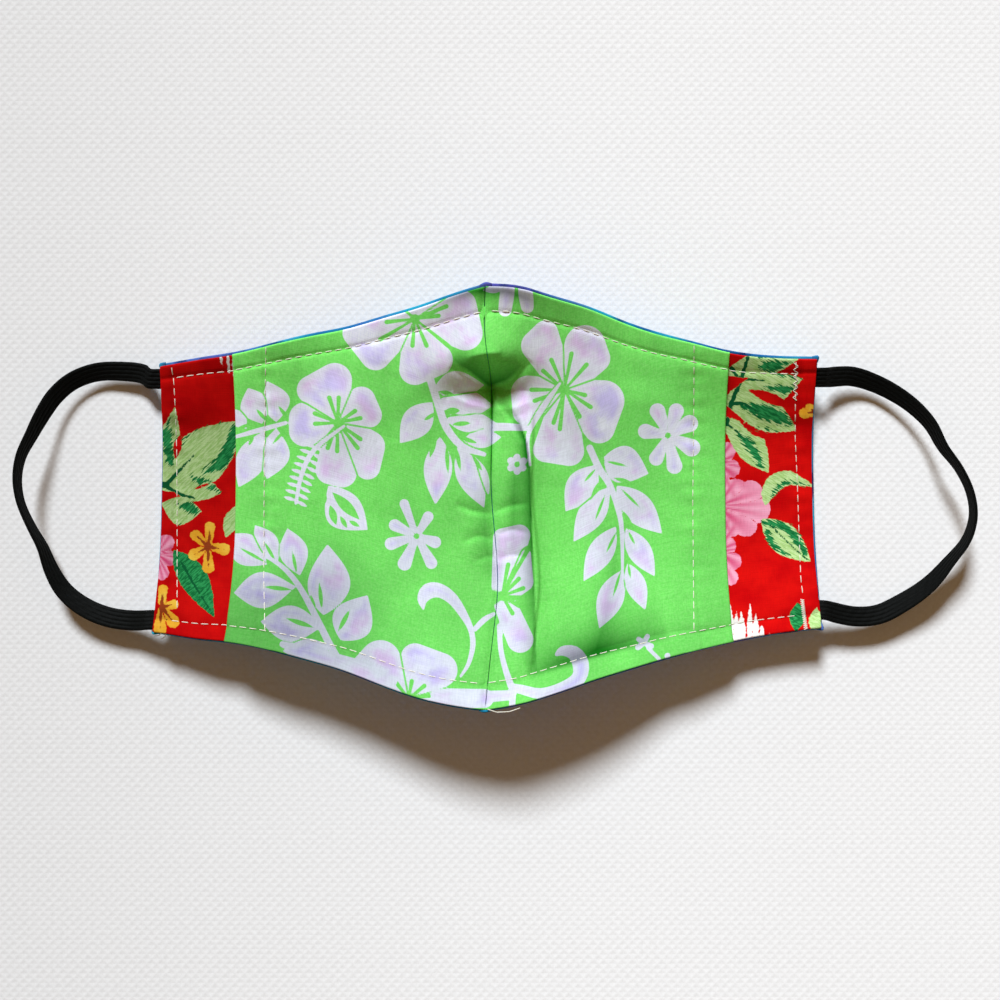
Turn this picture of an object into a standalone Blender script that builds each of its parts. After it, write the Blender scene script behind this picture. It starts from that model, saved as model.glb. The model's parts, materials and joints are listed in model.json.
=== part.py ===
"""A sewn cotton face mask that lies on its outer side, so that its lining shows.

Two halves of cloth meet in a curved centre seam and make a shallow bowl. A
floral lining shows at both sides, a printed filter pocket covers the middle,
and a flat black elastic is sewn in at the corners of each side. Metres, +Z up.
"""

import bisect
import functools
import math

import bmesh
import bpy
import numpy as np

for old_object in list(bpy.data.objects):
    bpy.data.objects.remove(old_object, do_unlink=True)

# Outline of the laid mask
MASK_WIDTH = 0.204
CENTRE_HEIGHT = 0.126
SIDE_HEIGHT = 0.082
SIDE_FLARE = 0.0008

# Height of the rims above the table at the centre seam, and of the side edges
TOP_RISE = 0.026
BOTTOM_RISE = 0.028
WING_LIFT = 0.0015
WING_SHARE = 0.25

# Cloth layers and the clearances between them
WALL = 0.0010
LAYER_GAP = 0.0003
SEAM_GAP = 0.0003

# How far the outer cloth rolls past the lining
TOP_PEEK = 0.0010
BOTTOM_PEEK = 0.0006
LEFT_PEEK = 0.0005
RIGHT_PEEK = 0.0015

# Topstitched border, filter pocket and the lining that runs on below it
BORDER_WIDTH = 0.006
SIDE_STITCH = 0.004
POCKET_MOUTH_LEFT = 0.0231
POCKET_MOUTH_RIGHT = 0.0266
POCKET_HEM = 0.010
HEM_THICKNESS = 0.0004
LINING_UNDER = 0.015

# Tuck that lies along the right side of the centre seam
TUCK_WIDTH = 0.0125
TUCK_RISE = 0.0015
TUCK_STEP = 0.0008
TUCK_TOP = 0.021
TUCK_BOTTOM = 0.046
TUCK_FADE = 0.008
TUCK_RISE_AT_SEAM = 0.0007

# Ear loops of flat elastic
BAND_WIDTH = 0.00635
BAND_THICKNESS = 0.0012
BAND_INSERT = 0.008
BAND_RISE = 0.0125
LOOP_REACH_LEFT = 0.0424
LOOP_REACH_RIGHT = 0.0482
BAND_INSET_LEFT = 0.0036
BAND_INSET_RIGHT = 0.0054
BULGE_MARGIN = 0.0065
BULGE_FADE = 0.006

HALF_WIDTH = MASK_WIDTH / 2
HALF_CENTRE = CENTRE_HEIGHT / 2
HALF_SIDE = SIDE_HEIGHT / 2

# The longer right loop moves the mask to the left of the object's middle
MASK_X = (LOOP_REACH_LEFT - LOOP_REACH_RIGHT) / 2

# Rims along the mask: place across as a share of the half width, the rim's
# distance as a share of the way from the side's height to the centre's, and
# its height above the table as a share of the rise at the seam.
RIMS = (
    # across, top, bottom, top_rise, bottom_rise
    (-1.00, -0.03, 0.04, 0.17, 0.25),
    (-0.86, 0.08, 0.12, 0.23, 0.42),
    (-0.75, 0.15, 0.15, 0.30, 0.56),
    (-0.64, 0.27, 0.23, 0.36, 0.68),
    (-0.54, 0.38, 0.34, 0.41, 0.77),
    (-0.42, 0.48, 0.48, 0.49, 0.85),
    (-0.31, 0.62, 0.67, 0.60, 0.90),
    (-0.20, 0.74, 0.84, 0.74, 0.96),
    (-0.10, 0.88, 0.94, 0.90, 0.99),
    (0.00, 1.00, 1.00, 1.00, 1.00),
    (0.09, 0.98, 0.93, 1.00, 1.00),
    (0.20, 0.85, 0.79, 0.90, 0.97),
    (0.31, 0.73, 0.62, 0.75, 0.91),
    (0.42, 0.54, 0.49, 0.60, 0.78),
    (0.52, 0.40, 0.38, 0.50, 0.64),
    (0.63, 0.27, 0.26, 0.43, 0.53),
    (0.73, 0.15, 0.17, 0.40, 0.43),
    (0.86, 0.08, 0.07, 0.35, 0.31),
    (1.00, 0.06, -0.02, 0.33, 0.27),
)

# Section from the middle of the mask to a rim: share of the way to the rim,
# and the height there as a share of the rim's. The middle lies flat. The top
# wall has a deep dent at the seam, and an even slope farther out.
SECTIONS = (
    # along, top_at_seam, top_at_sides, bottom
    (0.00, 0.00, 0.00, 0.00),
    (0.22, 0.00, 0.00, 0.00),
    (0.36, 0.00, 0.06, 0.06),
    (0.48, 0.02, 0.15, 0.16),
    (0.56, 0.10, 0.23, 0.24),
    (0.63, 0.42, 0.32, 0.33),
    (0.70, 0.70, 0.42, 0.43),
    (0.80, 0.80, 0.59, 0.59),
    (0.90, 0.88, 0.79, 0.78),
    (1.00, 1.00, 1.00, 1.00),
)
DENT_SPREAD = 0.14

# Centre seam: share of the half height, and its sway to the right as a share
# of the half width
SEAM_LINE = (
    # along, sway
    (-1.00, 0.000),
    (-0.70, 0.020),
    (-0.48, 0.038),
    (-0.20, 0.028),
    (0.00, 0.016),
    (0.35, 0.019),
    (0.60, 0.014),
    (0.75, -0.002),
    (1.00, 0.000),
)
SEAM_STIFF_SHARE = 0.15
SEAM_FADE_SHARE = 0.45

# Broad dents of the laid cloth: centre as shares of the half width and half
# height, half lengths as shares of the half width, turn in degrees, depth as
# a share of the bottom rim's rise
DENTS = (
    # across, along, half_long, half_short, turn, depth
    (0.25, -0.76, 0.150, 0.050, 30.0, 0.070),
    (-0.45, -0.62, 0.200, 0.070, -35.0, 0.045),
    (0.55, 0.55, 0.160, 0.070, -40.0, 0.035),
)

# Rows of the cloth from the middle to the topstitching, as shares of that way,
# and the place of the topstitching as a share of the half height
STITCH_SHARE = 0.9
ROWS_TOP = (0.15, 0.30, 0.42, 0.51, 0.59, 0.67, 0.76, 0.87, 1.00)
ROWS_BOTTOM = (0.18, 0.36, 0.52, 0.67, 0.82, 1.00)

# Number of the cloth's columns on each stretch from the seam to a side edge
TUCK_COLUMNS = 3
LEFT_MIDDLE_COLUMNS = 10
RIGHT_MIDDLE_COLUMNS = 8
HEM_COLUMNS = 2
SIDE_COLUMNS = 4

# Ear loops from the top end to the bottom end: distance out as a share of the
# loop's reach, place up as a share of half the distance between its ends,
# height as a share of the band's greatest height, and the band's turn from
# lying flat towards standing on edge, in degrees
LOOP_LEFT = (
    # out, up, rise, turn
    (0.12, 1.04, 0.43, 14.0),
    (0.30, 1.07, 0.34, 22.0),
    (0.49, 1.06, 0.34, 32.0),
    (0.66, 0.98, 0.42, 42.0),
    (0.77, 0.86, 0.52, 50.0),
    (0.85, 0.70, 0.66, 60.0),
    (0.92, 0.52, 0.80, 72.0),
    (0.98, 0.35, 0.92, 82.0),
    (1.00, 0.17, 0.98, 88.0),
    (0.98, -0.01, 0.97, 90.0),
    (0.92, -0.20, 0.88, 87.0),
    (0.84, -0.40, 0.74, 78.0),
    (0.79, -0.58, 0.62, 64.0),
    (0.71, -0.75, 0.54, 48.0),
    (0.57, -0.89, 0.50, 32.0),
    (0.39, -0.98, 0.50, 18.0),
    (0.18, -1.01, 0.58, 12.0),
)
LOOP_RIGHT = (
    # out, up, rise, turn
    (0.12, 1.01, 0.62, 14.0),
    (0.26, 1.02, 0.46, 22.0),
    (0.38, 0.98, 0.38, 34.0),
    (0.52, 0.89, 0.42, 44.0),
    (0.65, 0.76, 0.54, 56.0),
    (0.75, 0.60, 0.70, 68.0),
    (0.82, 0.40, 0.84, 78.0),
    (0.91, 0.22, 0.95, 86.0),
    (0.98, 0.01, 1.00, 90.0),
    (1.00, -0.18, 1.00, 90.0),
    (0.97, -0.38, 0.90, 84.0),
    (0.87, -0.58, 0.76, 72.0),
    (0.75, -0.78, 0.62, 52.0),
    (0.59, -0.94, 0.52, 34.0),
    (0.42, -1.05, 0.50, 20.0),
    (0.26, -1.06, 0.56, 12.0),
    (0.12, -1.02, 0.66, 12.0),
)
BAND_SECTIONS = 44

BLUE_COTTON = (0.03, 0.20, 0.55, 1.0)
GREEN_COTTON = (0.22, 0.72, 0.18, 1.0)
RED_COTTON = (0.62, 0.01, 0.01, 1.0)
BLACK_ELASTIC = (0.012, 0.012, 0.014, 1.0)


@functools.lru_cache(maxsize=None)
def column_curve(table, column):
    """A table's first column, one of its other columns, and that one's slopes."""
    knots = [row[0] for row in table]
    values = [row[column] for row in table]
    return knots, values, [float(slope) for slope in np.gradient(values, knots)]


def smooth_column(table, column, place):
    """Read one column of a table along a smooth curve through its rows."""
    knots, values, slopes = column_curve(table, column)
    place = min(max(place, knots[0]), knots[-1])
    k = min(bisect.bisect_right(knots, place) - 1, len(knots) - 2)
    span = knots[k + 1] - knots[k]
    t = (place - knots[k]) / span
    start = (1 + 2 * t) * (1 - t) ** 2 * values[k] + t * (1 - t) ** 2 * span * slopes[k]
    end = t * t * (3 - 2 * t) * values[k + 1] - t * t * (1 - t) * span * slopes[k + 1]
    return start + end


def rim_value(column, across):
    """Read the rims' table on one side of the seam, which may have a corner."""
    middle = [row[0] for row in RIMS].index(0.0)
    rows = RIMS[: middle + 1] if across < 0 else RIMS[middle:]
    return smooth_column(rows, column, across)


def rim_distance(x, is_top):
    """Distance from the mask's middle line to its top or bottom rim."""
    share = rim_value(1 if is_top else 2, (x - MASK_X) / HALF_WIDTH)
    return HALF_SIDE + share * (HALF_CENTRE - HALF_SIDE)


def fade(distance, length):
    """1 inside a limit, falling smoothly to 0 over a length past it."""
    t = min(max(distance / length, 0.0), 1.0)
    return 1 - t * t * (3 - 2 * t)


def seam_x(y):
    """Place of the centre seam."""
    return MASK_X + HALF_WIDTH * smooth_column(SEAM_LINE, 1, y / HALF_CENTRE)


def dent_depth(x, y):
    """Depth of the broad dents at a point."""
    depth = 0.0
    for across, along, half_long, half_short, turn, share in DENTS:
        dx = x - MASK_X - across * HALF_WIDTH
        dy = y - along * HALF_CENTRE
        c, s = math.cos(math.radians(turn)), math.sin(math.radians(turn))
        long_way = (dx * c + dy * s) / (half_long * HALF_WIDTH)
        short_way = (dy * c - dx * s) / (half_short * HALF_WIDTH)
        depth += share * BOTTOM_RISE * math.exp(-(long_way ** 2 + short_way ** 2))
    return depth


@functools.lru_cache(maxsize=None)
def underside(x, y):
    """Height of the mask's outer face above the table."""
    across = (x - MASK_X) / HALF_WIDTH
    is_top = y >= 0
    along = abs(y) / rim_distance(x, is_top)
    past_rim = max(along - 1.0, 0.0)
    if is_top:
        at_seam = smooth_column(SECTIONS, 1, along)
        at_sides = smooth_column(SECTIONS, 2, along)
        near_seam = math.exp(-((across / DENT_SPREAD) ** 2))
        section = near_seam * at_seam + (1 - near_seam) * at_sides
        rise = TOP_RISE * rim_value(3, across)
    else:
        section = smooth_column(SECTIONS, 3, along)
        rise = BOTTOM_RISE * rim_value(4, across)
    wing = max(abs(across) - 1 + WING_SHARE, 0.0) / WING_SHARE
    height = rise * (section + past_rim) + WING_LIFT * wing ** 2
    return max(height - dent_depth(x, y), 0.0)


def slope(x, y):
    """Slope of the cloth across the mask and up it."""
    step = 0.0005
    rise_x = (underside(x + step, y) - underside(x - step, y)) / (2 * step)
    rise_y = (underside(x, y + step) - underside(x, y - step)) / (2 * step)
    return rise_x, rise_y


@functools.lru_cache(maxsize=None)
def stretch(x, y):
    """Upright thickness of sloping cloth for each unit of real thickness."""
    return math.sqrt(1 + sum(rise ** 2 for rise in slope(x, y)))


def mouth_distance(side):
    """Distance of the pocket's mouth from the centre seam."""
    return HALF_WIDTH - (POCKET_MOUTH_LEFT if side < 0 else POCKET_MOUTH_RIGHT)


def band_y(side, is_top):
    """Place of an elastic's end along its side edge."""
    inset = BAND_INSET_LEFT if side < 0 else BAND_INSET_RIGHT
    reach = rim_distance(MASK_X + side * HALF_WIDTH, is_top) - inset
    return reach if is_top else -reach


def band_bulge(x, y):
    """Room between outer cloth and lining for the elastic's sewn-in ends."""
    side = -1 if x < MASK_X else 1
    inward = HALF_WIDTH - abs(x - MASK_X)
    aside = abs(y - band_y(side, y >= 0))
    share = fade(inward - BAND_INSERT - BULGE_MARGIN, BULGE_FADE)
    share *= fade(aside - BAND_WIDTH / 2 - BULGE_MARGIN, BULGE_FADE)
    return share * (BAND_THICKNESS + LAYER_GAP)


def outer_top(x, y):
    """Upper face of the outer cloth."""
    return underside(x, y) + WALL * stretch(x, y)


def lining_bottom(x, y):
    """Lower face of the lining at the sides."""
    return outer_top(x, y) + (LAYER_GAP + band_bulge(x, y)) * stretch(x, y)


def lining_top(x, y):
    """Upper face of the lining at the sides."""
    return lining_bottom(x, y) + WALL * stretch(x, y)


def pocket_bottom(side, column, x, y):
    """Lower face of the pocket: on the lining at the sides, else on the outer cloth."""
    over_lining = column >= mouth_distance(side) - LINING_UNDER - LAYER_GAP / 2
    bed = lining_top(x, y) if over_lining else outer_top(x, y)
    return bed + LAYER_GAP * stretch(x, y)


def tuck_height(column, y):
    """Height of the tuck over the pocket's cloth: folded cloth with a sharp right edge."""
    if column > TUCK_WIDTH + LAYER_GAP / 2:
        return 0.0
    share = fade(y - TUCK_TOP, TUCK_FADE) * fade(-y - TUCK_BOTTOM, TUCK_FADE)
    climb = (TUCK_RISE - TUCK_RISE_AT_SEAM) * min(2 * column / TUCK_WIDTH, 1.0)
    return share * (TUCK_RISE_AT_SEAM + climb)


def pocket_top(side, column, x, y):
    """Upper face of the pocket, with its hem and its tuck."""
    in_hem = column >= mouth_distance(side) - POCKET_HEM - LAYER_GAP / 2
    thickness = WALL + (HEM_THICKNESS if in_hem else 0.0)
    upper = pocket_bottom(side, column, x, y) + thickness * stretch(x, y)
    return upper + (tuck_height(column, y) if side > 0 else 0.0)


def spaced(stations):
    """Columns between named stations, each station with its number of steps."""
    columns = [stations[0][0]]
    for place, steps in stations[1:]:
        start = columns[-1]
        columns += [start + (place - start) * (k + 1) / steps for k in range(steps)]
    return columns


def half_columns(side):
    """Distances of the cloth's columns from the seam, out to one side edge."""
    mouth = mouth_distance(side)
    stations = [(0.0, 0)]
    if side > 0:
        stations += [(TUCK_WIDTH, TUCK_COLUMNS), (TUCK_WIDTH + TUCK_STEP, 1)]
    stations += [
        (mouth - LINING_UNDER, RIGHT_MIDDLE_COLUMNS if side > 0 else LEFT_MIDDLE_COLUMNS),
        (mouth - POCKET_HEM, 1),
        (mouth, HEM_COLUMNS),
        (HALF_WIDTH - SIDE_STITCH, SIDE_COLUMNS),
        (HALF_WIDTH, 1),
    ]
    return spaced(stations)


def plan_point(side, column, row):
    """Point of the plan at a column's distance and a row's signed share."""
    y = row[0] * HALF_CENTRE
    follow = fade(column / HALF_WIDTH - SEAM_STIFF_SHARE, SEAM_FADE_SHARE)
    x = MASK_X + side * column + (seam_x(y) - MASK_X) * follow
    x -= side * SIDE_FLARE * row[0] * (column / HALF_WIDTH) ** 2
    if column == 0:
        x += side * SEAM_GAP / 2
    is_top = row[0] >= 0
    to_rim = rim_distance(x, is_top)
    share, border, past = row[1:]
    reach = share * (to_rim - BORDER_WIDTH) + border * BORDER_WIDTH + past
    return x, reach if is_top else -reach


def cloth_rows(top_peek, bottom_peek):
    """Rows from the bottom rim to the top rim: rough place for the seam's sway,
    share of the way to the topstitching, share of the border, and way past it."""
    rows = [(-1.0, 1.0, 1.0, 0.0)]
    rows += [(-STITCH_SHARE * share, share, 0.0, 0.0) for share in reversed(ROWS_BOTTOM)]
    rows += [(0.0, 0.0, 0.0, 0.0)]
    rows += [(STITCH_SHARE * share, share, 0.0, 0.0) for share in ROWS_TOP]
    rows += [(1.0, 1.0, 1.0, 0.0)]
    if bottom_peek:
        rows.insert(0, (-1.0, 1.0, 1.0, bottom_peek))
    if top_peek:
        rows.append((1.0, 1.0, 1.0, top_peek))
    return rows


def make_material(name, colour, roughness):
    """Plain finish of one kind of cloth."""
    material = bpy.data.materials.new(name)
    material.use_nodes = True
    shader = material.node_tree.nodes["Principled BSDF"]
    shader.inputs["Base Color"].default_value = colour
    shader.inputs["Roughness"].default_value = roughness
    shader.inputs["Metallic"].default_value = 0.0
    return material


def add_object(name, mesh_data, material):
    """Turn finished mesh data into a named object with outward faces."""
    bmesh.ops.recalc_face_normals(mesh_data, faces=mesh_data.faces)
    if mesh_data.calc_volume(signed=True) < 0:
        bmesh.ops.reverse_faces(mesh_data, faces=mesh_data.faces)
    mesh = bpy.data.meshes.new(name)
    mesh_data.to_mesh(mesh)
    mesh_data.free()
    mesh.materials.append(material)
    mesh.shade_smooth()
    mesh.set_sharp_from_angle(angle=math.radians(40))
    thing = bpy.data.objects.new(name, mesh)
    bpy.context.collection.objects.link(thing)
    return thing


def cloth_sheet(name, side, columns, rows, lower, upper, material):
    """One layer of cloth: two matching faces over the plan, closed by its edges."""
    sheet = bmesh.new()
    under = [[None] * len(rows) for _ in columns]
    over = [[None] * len(rows) for _ in columns]
    for i, column in enumerate(columns):
        for j, row in enumerate(rows):
            x, y = plan_point(side, column, row)
            under[i][j] = sheet.verts.new((x, y, lower(column, x, y)))
            over[i][j] = sheet.verts.new((x, y, upper(column, x, y)))
    for i in range(len(columns) - 1):
        for j in range(len(rows) - 1):
            for grid in (under, over):
                a, b = grid[i][j], grid[i + 1][j]
                c, d = grid[i + 1][j + 1], grid[i][j + 1]
                sheet.faces.new((a, b, c))
                sheet.faces.new((a, c, d))
    border = [(i, 0) for i in range(len(columns))]
    border += [(len(columns) - 1, j) for j in range(1, len(rows))]
    border += [(i, len(rows) - 1) for i in range(len(columns) - 2, -1, -1)]
    border += [(0, j) for j in range(len(rows) - 2, 0, -1)]
    for here, there in zip(border, border[1:] + border[:1]):
        a, b = under[here[0]][here[1]], under[there[0]][there[1]]
        c, d = over[there[0]][there[1]], over[here[0]][here[1]]
        sheet.faces.new((a, b, c, d))
    return add_object(name, sheet, material)


def outer_shell(name, side, material):
    """Half of the outer cloth, rolled a little past the lining at its rims."""
    peek = LEFT_PEEK if side < 0 else RIGHT_PEEK
    columns = half_columns(side) + [HALF_WIDTH + peek]
    rows = cloth_rows(TOP_PEEK, BOTTOM_PEEK)
    lower = lambda column, x, y: underside(x, y)
    upper = lambda column, x, y: outer_top(x, y)
    return cloth_sheet(name, side, columns, rows, lower, upper, material)


def side_panel(name, side, material):
    """Lining at one side, from the side edge to its raw edge inside the pocket."""
    inner = mouth_distance(side) - LINING_UNDER - LAYER_GAP / 2
    columns = [column for column in half_columns(side) if column >= inner]
    rows = cloth_rows(0.0, 0.0)
    lower = lambda column, x, y: lining_bottom(x, y)
    upper = lambda column, x, y: lining_top(x, y)
    return cloth_sheet(name, side, columns, rows, lower, upper, material)


def pocket_panel(name, side, material):
    """Half of the filter pocket, from the centre seam to its hemmed mouth."""
    outermost = mouth_distance(side) + LAYER_GAP / 2
    columns = [column for column in half_columns(side) if column <= outermost]
    rows = cloth_rows(0.0, 0.0)
    lower = functools.partial(pocket_bottom, side)
    upper = functools.partial(pocket_top, side)
    return cloth_sheet(name, side, columns, rows, lower, upper, material)


def sewn_end(side, is_top, inward):
    """Point of an elastic's end between the cloths, and its tilt in degrees."""
    x = MASK_X + side * (HALF_WIDTH - inward)
    y = band_y(side, is_top)
    outer_edge = outer_top(x, y + math.copysign(BAND_WIDTH / 2, y))
    inner_edge = outer_top(x, y - math.copysign(BAND_WIDTH / 2, y))
    bed = max(outer_top(x, y), (outer_edge + inner_edge) / 2)
    lift = (LAYER_GAP + BAND_THICKNESS / 2) * stretch(x, y)
    tilt = math.degrees(math.atan((outer_edge - inner_edge) / BAND_WIDTH))
    return (x, y, bed + lift, tilt)


def curve_through(points, count):
    """Evenly spaced points on one smooth curve through the given ones."""
    lengths = [math.dist(a[:3], b[:3]) for a, b in zip(points, points[1:])]
    knots = [sum(lengths[:k]) for k in range(len(points))]
    rows = tuple((knot, *point) for knot, point in zip(knots, points))
    places = np.linspace(0.0, knots[-1], count)
    return [[smooth_column(rows, k, place) for k in range(1, 5)] for place in places]


def ear_loop(name, side, reach, table, material):
    """Flat elastic from the top corner round to the bottom corner of one side."""
    edge = MASK_X + side * HALF_WIDTH
    top, bottom = band_y(side, True), band_y(side, False)
    past_edge = -(max(LEFT_PEEK, RIGHT_PEEK) + BAND_THICKNESS)
    route = [sewn_end(side, True, 0.0), sewn_end(side, True, past_edge)]
    for out, up, rise, turn in table:
        y = (top + bottom) / 2 + up * (top - bottom) / 2
        route.append((edge + side * out * reach, y, rise * BAND_RISE, turn))
    route += [sewn_end(side, False, past_edge), sewn_end(side, False, 0.0)]
    path = [sewn_end(side, True, BAND_INSERT), sewn_end(side, True, BAND_INSERT / 2)]
    path += curve_through(route, BAND_SECTIONS)
    path += [sewn_end(side, False, BAND_INSERT / 2), sewn_end(side, False, BAND_INSERT)]

    band = bmesh.new()
    rings = []
    for k, (x, y, z, turn) in enumerate(path):
        ahead = np.array(path[min(k + 1, len(path) - 1)][:3])
        behind = np.array(path[max(k - 1, 0)][:3])
        along = (ahead - behind) / np.linalg.norm(ahead - behind)
        outward = np.cross(along, (0.0, 0.0, -side))
        outward /= np.linalg.norm(outward)
        upward = np.cross(along, outward) * side
        c, s = math.cos(math.radians(turn)), math.sin(math.radians(turn))
        half_width = (outward * c + upward * s) * BAND_WIDTH / 2
        half_depth = (upward * c - outward * s) * BAND_THICKNESS / 2
        centre = np.array((x, y, z))
        corners = [half_width + half_depth, half_depth - half_width]
        corners += [-half_width - half_depth, half_width - half_depth]
        rings.append([band.verts.new(centre + corner) for corner in corners])
    for ring, following in zip(rings, rings[1:]):
        for k in range(4):
            n = (k + 1) % 4
            band.faces.new((ring[k], ring[n], following[n]))
            band.faces.new((ring[k], following[n], following[k]))
    band.faces.new(rings[0])
    band.faces.new(rings[-1])
    return add_object(name, band, material)


blue = make_material("blue_cotton", BLUE_COTTON, 0.85)
green = make_material("green_print_cotton", GREEN_COTTON, 0.85)
red = make_material("red_floral_cotton", RED_COTTON, 0.80)
black = make_material("black_elastic", BLACK_ELASTIC, 0.70)

outer_shell("outer_shell_left", -1, blue)
outer_shell("outer_shell_right", 1, blue)
side_panel("side_panel_left", -1, red)
side_panel("side_panel_right", 1, red)
pocket_panel("pocket_panel_left", -1, green)
pocket_panel("pocket_panel_right", 1, green)
ear_loop("ear_loop_left", -1, LOOP_REACH_LEFT, LOOP_LEFT, black)
ear_loop("ear_loop_right", 1, LOOP_REACH_RIGHT, LOOP_RIGHT, black)
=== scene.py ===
import itertools
import json
import math

import bmesh
import bpy
import numpy as np
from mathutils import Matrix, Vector
from mathutils.bvhtree import BVHTree

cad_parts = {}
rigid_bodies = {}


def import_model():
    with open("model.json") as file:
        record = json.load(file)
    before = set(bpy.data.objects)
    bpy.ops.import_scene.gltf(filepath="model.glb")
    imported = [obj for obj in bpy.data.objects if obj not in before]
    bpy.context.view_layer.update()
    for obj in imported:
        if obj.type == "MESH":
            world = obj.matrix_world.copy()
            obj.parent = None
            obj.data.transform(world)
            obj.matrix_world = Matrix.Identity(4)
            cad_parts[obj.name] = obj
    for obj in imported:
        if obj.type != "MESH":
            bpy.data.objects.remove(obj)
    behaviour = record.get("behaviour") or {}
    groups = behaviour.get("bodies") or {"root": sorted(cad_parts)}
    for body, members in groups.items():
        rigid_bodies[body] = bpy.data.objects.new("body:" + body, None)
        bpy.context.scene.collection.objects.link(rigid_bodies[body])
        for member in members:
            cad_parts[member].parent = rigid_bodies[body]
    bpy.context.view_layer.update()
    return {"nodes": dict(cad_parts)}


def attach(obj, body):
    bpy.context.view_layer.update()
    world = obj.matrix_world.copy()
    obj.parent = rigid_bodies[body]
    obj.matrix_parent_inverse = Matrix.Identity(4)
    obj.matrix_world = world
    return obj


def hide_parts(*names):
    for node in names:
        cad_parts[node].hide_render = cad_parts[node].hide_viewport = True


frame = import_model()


# The mask lies lining side up on a pale table and is seen from straight above.
# Daylight comes from beyond the nose edge, so that the raised rim throws its
# shadow over the table in front of the chin edge.
CAMERA_HEIGHT = 0.42
CAMERA_X = 0.0015
CAMERA_Y = -0.00105
SEEN_WIDTH = 0.3175
SENSOR_WIDTH = 36
LIGHT_FROM = (-0.16, 0.735, 0.669)
DAYLIGHT = 4.2
DAYLIGHT_COLOUR = (0.945, 1.025, 1.10)
DAYLIGHT_SPREAD = 0.24
SKY_COLOUR = (0.175, 0.105, 0.047, 1.0)
HORIZON_COLOUR = (0.66, 0.66, 0.67, 1.0)
HORIZON_TOP = (0.10, 0.20)
NEAREST_SEEN = 0.01

bpy.ops.object.select_all(action="DESELECT")
bpy.ops.object.camera_add(location=(CAMERA_X, CAMERA_Y, CAMERA_HEIGHT), rotation=(0, 0, 0))
camera = bpy.context.object
camera.data.sensor_width = SENSOR_WIDTH
camera.data.lens = SENSOR_WIDTH * CAMERA_HEIGHT / SEEN_WIDTH
camera.data.clip_start = NEAREST_SEEN
bpy.context.scene.camera = camera

bpy.ops.object.light_add(type="SUN", rotation=Vector(LIGHT_FROM).to_track_quat("Z", "Y").to_euler())
daylight = bpy.context.object
daylight.data.energy = DAYLIGHT
daylight.data.angle = DAYLIGHT_SPREAD
daylight.data.color = DAYLIGHT_COLOUR

bpy.context.scene.view_settings.view_transform = "Standard"


def put(tree, kind, inputs=(), **settings):
    """Add a shader node, set it up and give back its outputs."""
    node = tree.nodes.new(kind)
    for name, value in settings.items():
        setattr(node, name, value)
    for socket, value in dict(inputs).items():
        if isinstance(value, bpy.types.NodeSocket):
            tree.links.new(value, node.inputs[socket])
        else:
            node.inputs[socket].default_value = value
    return node.outputs


def blend_colours(tree, share, first, second):
    """Mix two colours: the first at 0, the second at 1."""
    return put(tree, "ShaderNodeMix", {0: share, 6: first, 7: second}, data_type="RGBA")[2]


def between(tree, value, low, high, at_low=0.0, at_high=1.0):
    """Turn a value between two limits smoothly into another range."""
    limits = {"Value": value, "From Min": low, "From Max": high, "To Min": at_low, "To Max": at_high}
    return put(tree, "ShaderNodeMapRange", limits, interpolation_type="SMOOTHSTEP")[0]


def noise(tree, place, scale, detail=2.0, distortion=0.0):
    """Soft random mottling of about one patch in 1 / scale metres."""
    inputs = {"Vector": place, "Scale": scale, "Detail": detail, "Distortion": distortion}
    return put(tree, "ShaderNodeTexNoise", inputs)[0]


def toned(tree, colour, tone):
    """A colour made lighter or darker by a factor."""
    return put(tree, "ShaderNodeVectorMath", {0: colour, "Scale": tone}, operation="SCALE")[0]


def wave_scale(pitch):
    """Scale of a wave texture whose bands lie a pitch apart."""
    return 0.5 / (pitch * math.pi)


def emboss(tree, shader, height, depth, strength):
    """Give a shader's surface a fine relief."""
    bump = put(tree, "ShaderNodeBump", {"Strength": strength, "Distance": depth, "Height": height})
    tree.links.new(bump[0], shader.inputs["Normal"])


def new_finish(name, roughness, gloss=0.1):
    """A material, its node tree and its shader."""
    finish = bpy.data.materials.new(name)
    finish.use_nodes = True
    shader = finish.node_tree.nodes["Principled BSDF"]
    shader.inputs["Roughness"].default_value = roughness
    shader.inputs["Specular IOR Level"].default_value = gloss
    return finish, finish.node_tree, shader


# The room's light is warm from above and pale around the horizon.
sky = bpy.data.worlds.new("soft_sky")
sky.use_nodes = True
nodes = sky.node_tree
direction = put(nodes, "ShaderNodeTexCoord")["Generated"]
upwards = put(nodes, "ShaderNodeSeparateXYZ", {0: direction})["Z"]
glow = blend_colours(nodes, between(nodes, upwards, *HORIZON_TOP), HORIZON_COLOUR, SKY_COLOUR)
nodes.links.new(glow, nodes.nodes["Background"].inputs["Color"])
bpy.context.scene.world = sky

TABLE_SIZE = 3.0
TABLE_GAP = 0.0001
TABLE_COLOURS = ((0.85, 0.84, 0.83, 1.0), (0.89, 0.88, 0.87, 1.0))
# Painted shade: the table's colour is darkened at its left. From where to where, and by what factor.
TABLE_PAINTED_SHADE = (-0.22, 0.06, 0.84, 1.0)
CANVAS_PITCH = 0.0011
CANVAS_DEPTH = 0.00012
CANVAS_STRENGTH = 0.5
CANVAS_TURNS = (0.8, -0.8)

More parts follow.
